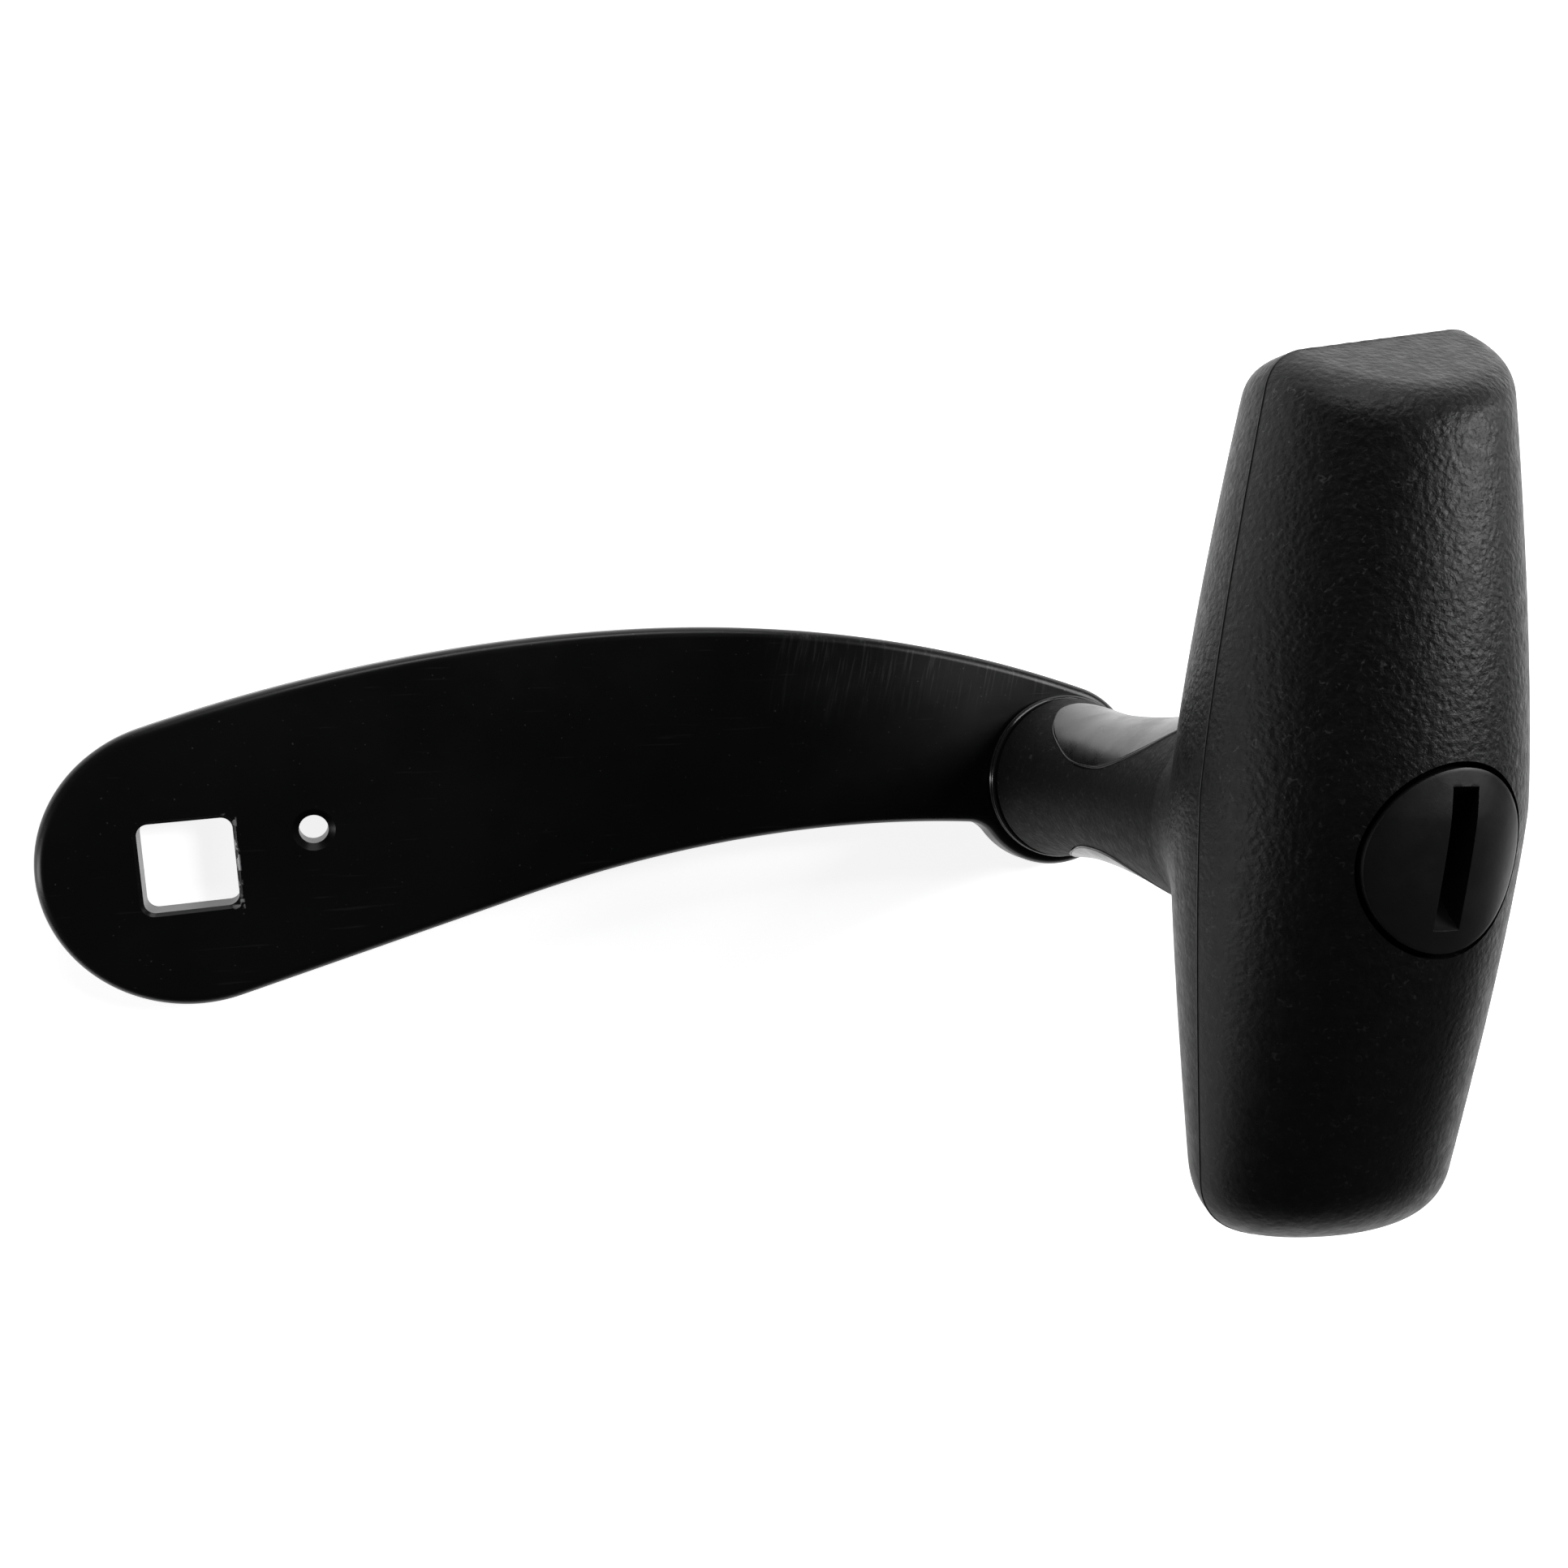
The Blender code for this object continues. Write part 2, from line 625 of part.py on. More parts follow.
def build_knob(pivot):
    """Grip and core turn with an empty on the spindle's axis."""
    grip = loft("t_bar_grip", bar_sections(), SOFT_GRIP)
    cut_ends(grip)
    neck = turned("neck_join", neck_profile(), group=cutters, steps=40)
    cut(grip, neck, 'UNION')
    hollow = turned("core_cutter", [
        (0.0, CORE_TOP + FIT_GAP),
        (CORE_R + FIT_GAP, CORE_TOP + FIT_GAP),
        (CORE_R + FIT_GAP, NECK_FOOT_Z - 0.001),
        (0.0, NECK_FOOT_Z - 0.001),
    ], group=cutters, steps=40)
    cut(grip, hollow)
    well = turned("cap_well_cutter", [
        (0.0, BAR_Z + 0.020),
        (CAP_R + CAP_GAP, BAR_Z + 0.020),
        (CAP_R + CAP_GAP, CORE_TOP - 0.0002),
        (0.0, CORE_TOP - 0.0002),
    ], group=cutters, steps=48)
    cut(grip, well)
    windows = pad_prism("window_cutter", FIT_GAP)
    cut(grip, windows)
    smooth(grip.data, 40.0)

    pocket_r = BEARING_OUTER_R + 0.00005
    lower_end = LOWER_BEARING_Z + BEARING_HALF + SEAT_GAP
    upper_start = UPPER_BEARING_Z - BEARING_HALF - SEAT_GAP
    core = turned("knob_core", [
        (0.0, CORE_TOP),
        (CORE_R, CORE_TOP),
        (CORE_R, NECK_FOOT_Z + 0.0002),
        (0.0, NECK_FOOT_Z + 0.0002),
    ], HARD_NYLON, steps=40)
    pads = pad_prism("pad_join", 0.0)
    skin = turned("pad_skin_cutter", neck_profile(PAD_PROUD), group=cutters, steps=40)
    cut(pads, skin, 'INTERSECT')
    cut(core, pads, 'UNION')
    bore = turned("core_bore_cutter", [
        (0.0, CORE_TOP + 0.001),
        (pocket_r, CORE_TOP + 0.001),
        (pocket_r, upper_start),
        (CORE_BORE_R, upper_start),
        (CORE_BORE_R, lower_end),
        (pocket_r, lower_end),
        (pocket_r, NECK_FOOT_Z - 0.001),
        (0.0, NECK_FOOT_Z - 0.001),
    ], group=cutters, steps=40)
    cut(core, bore)
    for body in (grip, neck, hollow, well, windows, core, pads, skin, bore):
        body.parent = pivot


def build_cap(pivot):
    """Coin-slotted cap whose top follows the T-bar, with a threaded spigot below."""
    cap = turned("slotted_cap", [
        (0.0, BAR_Z + 0.018),
        (CAP_R, BAR_Z + 0.018),
        (CAP_R, CAP_FLOOR_Z),
        (SPIGOT_R, CAP_FLOOR_Z),
        (SPIGOT_R, SPIGOT_END + 0.0003),
        (SPIGOT_R - 0.0003, SPIGOT_END),
        (0.0, SPIGOT_END),
    ], HARD_NYLON, steps=48)
    skin = loft("cap_skin_cutter", bar_sections(CAP_PROUD), group=cutters)
    cut(cap, skin, 'INTERSECT')
    crown = BAR_Z + BAR_FRONT_MID + CAP_PROUD
    slot_r = ((SLOT_LONG / 2.0) ** 2 + SLOT_DEEP ** 2) / (2.0 * SLOT_DEEP)
    mesh = bpy.data.meshes.new("slot_cutter")
    shape = bmesh.new()
    place = Matrix.Translation((0.0, 0.0, crown - SLOT_DEEP + slot_r)) @ Matrix.Rotation(math.pi / 2.0, 4, 'Y')
    bmesh.ops.create_cone(shape, cap_ends=True, segments=48, radius1=slot_r, radius2=slot_r,
                          depth=SLOT_WIDE, matrix=place)
    shape.to_mesh(mesh)
    shape.free()
    slot = add_object("slot_cutter", mesh, group=cutters)
    cut(cap, slot)

    seal_r = 0.00045
    seal_mid = (CORE_TOP + CAP_FLOOR_Z) / 2.0
    section = []
    for i in range(8):
        angle = math.pi / 2.0 - 2.0 * math.pi * i / 8
        section.append((0.00535 + seal_r * math.cos(angle), seal_mid + seal_r * math.sin(angle)))
    seal = turned("cap_o_ring", section, SEAL_RUBBER, steps=28, closed=True)
    for body in (cap, skin, slot, seal):
        body.parent = pivot


# ---- the whole handle ---------------------------------------------------

build_arm()
build_spindle()
build_rear_screw()
build_washers()
build_top_screw()
build_bearing("lower_bearing", LOWER_BEARING_Z)
build_bearing("upper_bearing", UPPER_BEARING_Z)

knob_pivot = bpy.data.objects.new("knob_pivot", None)
parts.objects.link(knob_pivot)
knob_pivot.location = (THROW, 0.0, 0.0)
knob_pivot.rotation_euler = (0.0, 0.0, KNOB_TURN)
build_knob(knob_pivot)
build_cap(knob_pivot)
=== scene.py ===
"""Crank handle with a curved flat arm and a free-spinning T-bar knob, finished for its looks."""

import math

import bmesh
import bpy
from mathutils import Matrix, Vector


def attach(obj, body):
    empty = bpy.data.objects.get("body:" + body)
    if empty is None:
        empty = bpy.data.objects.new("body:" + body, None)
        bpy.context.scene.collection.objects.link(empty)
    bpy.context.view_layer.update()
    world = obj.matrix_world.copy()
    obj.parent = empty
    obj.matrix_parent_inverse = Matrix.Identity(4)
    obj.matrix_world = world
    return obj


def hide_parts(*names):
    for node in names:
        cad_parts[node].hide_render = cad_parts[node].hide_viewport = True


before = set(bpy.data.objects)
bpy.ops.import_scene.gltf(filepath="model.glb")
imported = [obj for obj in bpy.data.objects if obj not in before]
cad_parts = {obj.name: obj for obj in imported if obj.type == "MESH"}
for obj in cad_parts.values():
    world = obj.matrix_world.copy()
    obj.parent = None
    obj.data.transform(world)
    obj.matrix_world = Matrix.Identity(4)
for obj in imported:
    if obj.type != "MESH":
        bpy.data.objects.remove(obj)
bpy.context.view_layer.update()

# ---- studio ------------------------------------------------------------
# A pale sweep under the handle, which lies on the arm's back face.  One soft box
# stands to the right, one past the knob's upper end, and a small one by the hub.

camera_data = bpy.data.cameras.new("camera")
camera_data.lens = 32.90
camera_data.sensor_width = 36.0
camera_data.clip_start = 0.01
camera = bpy.data.objects.new("camera", camera_data)
camera.location = (0.011506, 0.022149, 0.140215)
camera.rotation_euler = (math.radians(-6.963), math.radians(-18.572), math.radians(-3.186))
bpy.context.scene.collection.objects.link(camera)
bpy.context.scene.camera = camera
bpy.context.scene.view_settings.view_transform = 'Standard'

world = bpy.data.worlds.new("dim_room")
world.use_nodes = True
world.node_tree.nodes["Background"].inputs["Color"].default_value = (0.30, 0.30, 0.31, 1.0)
world.node_tree.nodes["Background"].inputs["Strength"].default_value = 0.10
bpy.context.scene.world = world

SWEEP_SIZE = 4.0
sweep_mesh = bpy.data.meshes.new("pale_sweep")
half = SWEEP_SIZE / 2.0
sweep_mesh.from_pydata([(-half, -half, 0.0), (half, -half, 0.0), (half, half, 0.0), (-half, half, 0.0)],
                       [], [(0, 1, 2, 3)])
sweep = bpy.data.objects.new("pale_sweep", sweep_mesh)
sweep.location.z = -0.0002
bpy.context.scene.collection.objects.link(sweep)
sweep_paint = bpy.data.materials.new("pale_sweep")
sweep_paint.use_nodes = True
shader = sweep_paint.node_tree.nodes["Principled BSDF"]
shader.inputs["Base Color"].default_value = (0.92, 0.92, 0.92, 1.0)
shader.inputs["Roughness"].default_value = 0.9
shader.inputs["Specular IOR Level"].default_value = 0.0
shader.inputs["Emission Color"].default_value = (1.0, 1.0, 1.0, 1.0)
shader.inputs["Emission Strength"].default_value = 0.86
sweep_mesh.materials.append(sweep_paint)


def soft_box(name, place, aim, wide, tall, watts):
    """A rectangular area lamp that faces a point."""
    data = bpy.data.lights.new(name, 'AREA')
    data.shape = 'RECTANGLE'
    data.size = wide
    data.size_y = tall
    data.energy = watts
    lamp = bpy.data.objects.new(name, data)
    lamp.location = place
    lamp.rotation_euler = (Vector(aim) - Vector(place)).to_track_quat('-Z', 'Y').to_euler()
    bpy.context.scene.collection.objects.link(lamp)


middle = (0.0877, 0.0, 0.03)
soft_box("right_box", (0.34, 0.12, 0.27), middle, 0.12, 0.20, 0.95)
soft_box("left_box", (-0.12, -0.01, 0.035), (0.0, 0.0, 0.0), 0.02, 0.08, 0.045)
soft_box("upper_box", (0.06, 0.38, 0.16), middle, 0.30, 0.12, 0.52)


# ---- crank arm ---------------------------------------------------------
# A 3.8 mm aluminium plate, cut to its curved outline, with its rim rounded over,
# a square hole broached for the drive shaft and a small hole for a locking
# screw.  It is brushed along its length and then black anodised.

THROW = 0.0877
ARM_THICK = 0.0038
ARM_EDGE = 0.0010
HUB_X = 0.0004
HUB_R = 0.0129
BOSS_R = 0.0098
CREST = (0.0410, 0.0185)
BELLY = (0.0600, -0.0030)
BELLY_R = 0.1350
BOSS_FILLET = 0.0040
DRIVE_SIDE = 0.0080
DRIVE_CORNER = 0.0010
DRIVE_CHAMFER = 0.0003
LOCK = (0.0109, 0.0021)
LOCK_BORE_R = 0.0013
LOCK_RIM_R = 0.0019
SCREW_SHANK_R = 0.0020
SCREW_HEAD_R = 0.0040
FIT_GAP = 0.0003


def arc(centre, radius, start, end, count):
    """Points along an arc, from one angle to another, both in radians."""
    step = (end - start) / count
    angles = [start + step * i for i in range(count + 1)]
    return [(centre[0] + radius * math.cos(a), centre[1] + radius * math.sin(a)) for a in angles]


def bearing_of(centre, point):
    return math.atan2(point[1] - centre[1], point[0] - centre[0])


def circles_cross(first, first_r, second, second_r):
    """The upper-left crossing of two circles."""
    dx, dy = second[0] - first[0], second[1] - first[1]
    apart = math.hypot(dx, dy)
    along = (apart ** 2 + first_r ** 2 - second_r ** 2) / (2.0 * apart)
    aside = math.sqrt(first_r ** 2 - along ** 2)
    return (first[0] + (dx * along - dy * aside) / apart, first[1] + (dy * along + dx * aside) / apart)


def radius_through(point, circle_x, circle_r):
    """Radius of an arc with its crest at a point that also closes round a circle on the X axis."""
    reach = (point[0] - circle_x) ** 2 + point[1] ** 2 - circle_r ** 2
    return reach / (2.0 * (point[1] - circle_r))


def straight_between(first, first_r, second, second_r):
    """Turn at which a straight line leaves one circle's lower side for another's upper side."""
    apart = math.hypot(second[0] - first[0], second[1] - first[1])
    return bearing_of(first, second) - math.acos((first_r + second_r) / apart)


def arm_outline():
    """Two long arcs over the crest, a round hub and boss, and a straight and a hollow arc below."""
    hub, boss = (HUB_X, 0.0), (THROW, 0.0)
    rear_r = radius_through(CREST, HUB_X, HUB_R)
    front_r = radius_through(CREST, THROW, BOSS_R)
    rear, front = (CREST[0], CREST[1] - rear_r), (CREST[0], CREST[1] - front_r)
    belly = (BELLY[0], BELLY[1] - BELLY_R)
    fillet = circles_cross(belly, BELLY_R - BOSS_FILLET, boss, BOSS_R + BOSS_FILLET)
    turn = 2.0 * math.pi
    hub_top = bearing_of(rear, hub)
    hub_low = straight_between(hub, HUB_R, belly, BELLY_R) + turn
    boss_low = bearing_of(boss, fillet) + turn
    boss_top = bearing_of(front, boss) + turn
    points = arc(hub, HUB_R, hub_top, hub_low, 96)
    points += arc(belly, BELLY_R, hub_low - math.pi, bearing_of(belly, fillet), 60)
    points += arc(fillet, BOSS_FILLET, bearing_of(belly, fillet), boss_low - math.pi, 16)[1:]
    points += arc(boss, BOSS_R, boss_low, boss_top, 72)[1:]
    points += arc(front, front_r, boss_top - turn, math.pi / 2.0, 40)[1:]
    points += arc(rear, rear_r, math.pi / 2.0, hub_top, 34)[1:-1]
    return points


def add_object(name, mesh):
    body = bpy.data.objects.new(name, mesh)
    bpy.context.scene.collection.objects.link(body)
    return body


def loft(name, sections, x=0.0, y=0.0, turned_by=0.0):
    """Skin a row of equal-count closed sections and close both ends."""
    shape = bmesh.new()
    rows = [[shape.verts.new(point) for point in section] for section in sections]
    count = len(rows[0])
    for low, high in zip(rows, rows[1:]):
        for i in range(count):
            j = (i + 1) % count
            shape.faces.new((low[i], low[j], high[j], high[i]))
    shape.faces.new(rows[0][::-1])
    shape.faces.new(rows[-1])
    place = Matrix.Translation((x, y, 0.0)) @ Matrix.Rotation(turned_by, 4, 'Z')
    bmesh.ops.transform(shape, matrix=place, verts=shape.verts)
    bmesh.ops.recalc_face_normals(shape, faces=shape.faces)
    mesh = bpy.data.meshes.new(name)
    shape.to_mesh(mesh)
    shape.free()
    return add_object(name, mesh)


def turned(name, profile, x=0.0, y=0.0, z=0.0, steps=96, closed=False):
    """Turn a profile of (radius, height) points about an upright axis."""
    mesh = bpy.data.meshes.new(name)
    edges = [(i, i + 1) for i in range(len(profile) - 1)]
    if closed:
        edges.append((len(profile) - 1, 0))
    mesh.from_pydata([(radius, 0.0, height) for radius, height in profile], edges, [])
    body = add_object(name, mesh)
    spin = body.modifiers.new("turn", 'SCREW')
    spin.steps = steps
    spin.render_steps = steps
    spin.use_merge_vertices = True
    spin.merge_threshold = 0.00001
    return settled(body, Matrix.Translation((x, y, z)))


def settled(body, place=None):
    """Turn an object and its modifiers into one plain mesh at the origin."""
    bpy.context.view_layer.update()
    ready = body.evaluated_get(bpy.context.evaluated_depsgraph_get())
    mesh = bpy.data.meshes.new_from_object(ready)
    mesh.transform(place if place else body.matrix_world)
    name = body.name
    bpy.data.objects.remove(body, do_unlink=True)
    shape = bmesh.new()
    shape.from_mesh(mesh)
    bmesh.ops.remove_doubles(shape, verts=shape.verts, dist=0.000001)
    bmesh.ops.recalc_face_normals(shape, faces=shape.faces)
    shape.to_mesh(mesh)
    shape.free()
    return add_object(name, mesh)


def cut(body, *cutters, operation='DIFFERENCE'):
    """Cut a body with others, or join them to it, and remove them."""
    for cutter in cutters:
        tool = body.modifiers.new("cut", 'BOOLEAN')
        tool.object = cutter
        tool.operation = operation
        tool.solver = 'EXACT'
    body = settled(body)
    for cutter in cutters:
        bpy.data.objects.remove(cutter, do_unlink=True)
    return body


def rounded(body, width, segments=2, over_degrees=40.0):
    """Break a body's sharp corners, then shade it with its flats flat."""
    edge = body.modifiers.new("edge", 'BEVEL')
    edge.width = width
    edge.segments = segments
    edge.limit_method = 'ANGLE'
    edge.angle_limit = math.radians(over_degrees)
    edge.use_clamp_overlap = True
    edge.harden_normals = False
    return shaded(settled(body))


def shaded(body, degrees=32.0):
    body.data.shade_smooth()
    body.data.set_sharp_from_angle(angle=math.radians(degrees))
    even = body.modifiers.new("even_flats", 'WEIGHTED_NORMAL')
    even.keep_sharp = True
    even.weight = 90
    return body


def rounded_square(side, corner, height):
    """A square section with round corners at one height."""
    reach = side / 2.0 - corner
    points = []
    for quarter in range(4):
        angle = quarter * math.pi / 2.0
        centre = (reach if quarter in (0, 3) else -reach, reach if quarter in (0, 1) else -reach)
        points += arc(centre, corner, angle, angle + math.pi / 2.0, 10)
    return [(x, y, height) for x, y in points]


outline = arm_outline()
plate = loft("arm_plate", [[(x, y, 0.0) for x, y in outline], [(x, y, ARM_THICK) for x, y in outline]])
arm = rounded(plate, ARM_EDGE, segments=8, over_degrees=60.0)
arm.modifiers.clear()
wide = DRIVE_SIDE + 2.0 * (DRIVE_CHAMFER + 0.001)
drive_cutter = loft("drive_cutter", [
    rounded_square(wide, DRIVE_CORNER + 0.001, -0.001),
    rounded_square(DRIVE_SIDE, DRIVE_CORNER, DRIVE_CHAMFER),
    rounded_square(DRIVE_SIDE, DRIVE_CORNER, ARM_THICK - DRIVE_CHAMFER),
    rounded_square(wide, DRIVE_CORNER + 0.001, ARM_THICK + 0.001),
])
lock_sink = LOCK_RIM_R - LOCK_BORE_R
lock_cutter = turned("lock_cutter", [
    (0.0, ARM_THICK + 0.001), (LOCK_RIM_R + 0.001, ARM_THICK + 0.001), (LOCK_BORE_R, ARM_THICK - lock_sink),
    (LOCK_BORE_R, -0.001), (0.0, -0.001),
], x=LOCK[0], y=LOCK[1], steps=64)
screw_cutter = turned("screw_cutter", [
    (0.0, ARM_THICK + 0.001), (SCREW_SHANK_R + FIT_GAP, ARM_THICK + 0.001),
    (SCREW_SHANK_R + FIT_GAP, SCREW_HEAD_R - SCREW_SHANK_R + FIT_GAP),
    (SCREW_HEAD_R + FIT_GAP, FIT_GAP), (SCREW_HEAD_R + FIT_GAP, -0.001), (0.0, -0.001),
], x=THROW, steps=72)
arm = shaded(cut(arm, drive_cutter, lock_cutter, screw_cutter), 28.0)
arm.name = "finished_arm"
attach(arm, "arm")
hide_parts("crank_arm")


class Look:
    """A material under construction: a Principled shader and the patterns that feed it."""

    def __init__(self, name, colour, metallic, roughness, specular=0.5):
        self.material = bpy.data.materials.new(name)
        self.material.use_nodes = True
        self.nodes = self.material.node_tree.nodes
        self.links = self.material.node_tree.links
        self.shader = self.nodes["Principled BSDF"]
        self.shader.inputs["Base Color"].default_value = (*colour, 1.0)
        self.shader.inputs["Metallic"].default_value = metallic
        self.shader.inputs["Roughness"].default_value = roughness
        self.shader.inputs["Specular IOR Level"].default_value = specular
        self.place = self.nodes.new("ShaderNodeTexCoord").outputs["Object"]

    def stretched(self, scale, centre=(0.0, 0.0, 0.0), turn=0.0):
        """Object coordinates, moved, turned about Z and scaled on each axis."""
        node = self.nodes.new("ShaderNodeMapping")
        node.vector_type = 'TEXTURE'
        self.links.new(self.place, node.inputs["Vector"])
        node.inputs["Location"].default_value = centre
        node.inputs["Rotation"].default_value = (0.0, 0.0, turn)
        node.inputs["Scale"].default_value = [1.0 / value for value in scale]
        return node.outputs["Vector"]

    def noise(self, scale, detail=3.0, roughness=0.55, where=None, distortion=0.0):
        node = self.nodes.new("ShaderNodeTexNoise")
        self.links.new(where or self.place, node.inputs["Vector"])
        node.inputs["Scale"].default_value = scale
        node.inputs["Detail"].default_value = detail
        node.inputs["Roughness"].default_value = roughness
        node.inputs["Distortion"].default_value = distortion
        return node.outputs["Fac"]

    def cells(self, scale, where=None, feature='F1', randomness=1.0):
        node = self.nodes.new("ShaderNodeTexVoronoi")
        node.feature = feature
        self.links.new(where or self.place, node.inputs["Vector"])
        node.inputs["Scale"].default_value = scale
        node.inputs["Randomness"].default_value = randomness
        return node.outputs["Distance"]

    def ramp(self, value, low, high, start=0.0, end=1.0):
        """A soft step: start below low, end above high."""
        node = self.nodes.new("ShaderNodeMapRange")
        node.interpolation_type = 'SMOOTHSTEP'
        self.links.new(value, node.inputs["Value"])
        node.inputs["From Min"].default_value = low
        node.inputs["From Max"].default_value = high
        node.inputs["To Min"].default_value = start
        node.inputs["To Max"].default_value = end
        return node.outputs["Result"]

    def maths(self, operation, first, second=0.0):
        node = self.nodes.new("ShaderNodeMath")
        node.operation = operation
        for slot, value in zip(node.inputs, (first, second)):
            if isinstance(value, (int, float)):
                slot.default_value = value
            else:
                self.links.new(value, slot)
        return node.outputs["Value"]

    def axis(self, letter, where=None):
        node = self.nodes.new("ShaderNodeSeparateXYZ")
        self.links.new(where or self.place, node.inputs["Vector"])
        return node.outputs[letter]

    def tint(self, share, colour):
        """Blend the base colour towards another by a pattern."""
        node = self.nodes.new("ShaderNodeMix")
        node.data_type = 'RGBA'
        target = self.shader.inputs["Base Color"]
        if target.is_linked:
            self.links.new(target.links[0].from_socket, node.inputs["A"])
        else:
            node.inputs["A"].default_value = target.default_value
        node.inputs["B"].default_value = (*colour, 1.0)
        self.links.new(share, node.inputs["Factor"])
        self.links.new(node.outputs["Result"], target)

    def rough(self, value):
        self.links.new(value, self.shader.inputs["Roughness"])

    def bump(self, height, depth, strength=1.0):
        """Raise the surface by a pattern times a depth in metres, on top of earlier bumps."""
        node = self.nodes.new("ShaderNodeBump")
        node.inputs["Strength"].default_value = strength
        node.inputs["Distance"].default_value = depth
        self.links.new(height, node.inputs["Height"])
        target = self.shader.inputs["Normal"]
        if target.is_linked:
            self.links.new(target.links[0].from_socket, node.inputs["Normal"])
        self.links.new(node.outputs["Normal"], target)

    def on(self, *bodies):
        for body in bodies:
            body.data.materials.clear()
            body.data.materials.append(self.material)


def anodised_plate():
    """Black anodised plate with lengthwise brushing, scuff marks by the knob lightened as a painted sheen,
    a nicked drive-hole rim partly lightened as a painted highlight, dust.
    """
    look = Look("black_anodised_plate", (0.0062, 0.0062, 0.0065), 0.35, 0.34, 0.45)
    along_arm = look.stretched((0.05, 1.0, 1.0), turn=math.radians(-3.0))
    across_arm = look.stretched((1.0, 0.05, 1.0), turn=math.radians(-14.0))
    brushed = look.noise(900.0, 4.0, 0.6, along_arm)
    cross_cut = look.noise(2900.0, 3.0, 0.6, across_arm)
    by_knob = look.ramp(look.axis("X"), 0.052, 0.062)
    upper = look.ramp(look.axis("Y"), 0.007, 0.0125)
    scuff_and_sheen_zone = look.maths('MULTIPLY', by_knob, upper)
    scuffs_and_sheen = look.maths('MULTIPLY', scuff_and_sheen_zone, look.ramp(cross_cut, 0.50, 0.70))
    # Painted sheen: along the upper edge by the knob, the base colour is lightened through cross-cut scuff
    # marks. The marks are real; the lightening stands in for a reflection.
    look.tint(scuffs_and_sheen, (0.040, 0.040, 0.042))
    hairs = look.ramp(look.noise(2400.0, 2.0, 0.5, along_arm), 0.67, 0.74)
    look.tint(look.maths('MULTIPLY', hairs, 0.35), (0.035, 0.035, 0.036))
    specks = look.ramp(look.noise(3200.0, 1.0, 0.4), 0.75, 0.80)
    look.tint(look.maths('MULTIPLY', specks, 0.6), (0.10, 0.10, 0.10))
    from_side = look.maths('ABSOLUTE', look.axis("X"))
    from_top = look.maths('ABSOLUTE', look.axis("Y"))
    off_centre = look.maths('MAXIMUM', from_side, from_top)
    inside = look.ramp(off_centre, 0.00395, 0.0041)
    outside = look.ramp(off_centre, 0.0043, 0.00445, 1.0, 0.0)
    lip = look.maths('MULTIPLY', inside, outside)
    lip = look.maths('MULTIPLY', lip, look.ramp(look.axis("X"), 0.0030, 0.0040))
    lip = look.maths('MULTIPLY', lip, look.ramp(look.axis("Z"), 0.00345, 0.0036))
    # The right-hand rim of the drive hole is lightened in patches: partly nicked anodising, partly a
    # painted highlight on the chamfer.
    nicks_and_highlight = look.maths('MULTIPLY', lip, look.ramp(look.noise(1300.0, 2.0, 0.5), 0.48, 0.56))
    look.tint(nicks_and_highlight, (0.42, 0.42, 0.43))
    cloudy = look.noise(70.0, 4.0, 0.6)
    duller = look.maths('MULTIPLY', scuff_and_sheen_zone, 0.06)
    look.rough(look.maths('ADD', look.ramp(cloudy, 0.3, 0.7, 0.26, 0.36), duller))
    look.bump(brushed, 0.000004)
    look.bump(hairs, 0.000003)
    look.bump(look.maths('MULTIPLY', scuff_and_sheen_zone, cross_cut), 0.000008)
    look.bump(look.noise(6000.0, 2.0, 0.5), 0.0000012)
    return look


anodised_plate().on(arm)


# ---- screws, spindle and washers ----------------------------------------
# Stainless pieces turned on a lathe, a black acetal thrust ring under the knob,
# and an anodised sleeve between the bearings.

REAR_SCREW_END = 0.0110
WASHER_LOW = ARM_THICK + 0.0001
WASHER_R = 0.0087
WASHER_THICK = 0.0011
WASHER_BORE_R = 0.0036
HEX_ACROSS = 0.0025
HEX_DEEP = 0.0018


def hex_cutter(across_flats, low, high, x):
    """A six-sided bar for a key socket."""
    radius = across_flats / math.sqrt(3.0)
    turns = [math.radians(60 * i) for i in range(6)]
    ring = [(radius * math.cos(turn), radius * math.sin(turn)) for turn in turns]
    return loft("hex_cutter", [[(a, b, low) for a, b in ring], [(a, b, high) for a, b in ring]], x=x)


head_cone = SCREW_HEAD_R - SCREW_SHANK_R
rear_screw = turned("rear_screw", [
    (0.0, REAR_SCREW_END),
    (SCREW_SHANK_R - 0.0004, REAR_SCREW_END),
    (SCREW_SHANK_R, REAR_SCREW_END - 0.0004),
    (SCREW_SHANK_R, 2.0 * FIT_GAP + head_cone),
    (SCREW_HEAD_R, 2.0 * FIT_GAP),
    (SCREW_HEAD_R, FIT_GAP),
    (0.0, FIT_GAP),
], x=THROW)
rear_screw = cut(rear_screw, hex_cutter(HEX_ACROSS, -0.001, HEX_DEEP, THROW))
rear_screw = rounded(rear_screw, 0.00008)
rear_screw.name = "finished_spindle_screw"
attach(rear_screw, "arm")
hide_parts("spindle_screw")

groove = 0.00012
washer_high = WASHER_LOW + WASHER_THICK
washer_mid = (WASHER_LOW + washer_high) / 2.0
thrust_ring = turned("thrust_ring", [
    (WASHER_BORE_R, washer_high), (WASHER_R - 0.0002, washer_high), (WASHER_R, washer_high - 0.0002),
    (WASHER_R, washer_mid + groove), (WASHER_R - groove, washer_mid), (WASHER_R, washer_mid - groove),
    (WASHER_R, WASHER_LOW + 0.0002), (WASHER_R - 0.0002, WASHER_LOW), (WASHER_BORE_R, WASHER_LOW),
], x=THROW, steps=128, closed=True)
thrust_ring = rounded(thrust_ring, 0.00005)
thrust_ring.name = "finished_thrust_ring"
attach(thrust_ring, "arm")
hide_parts("thrust_washer")


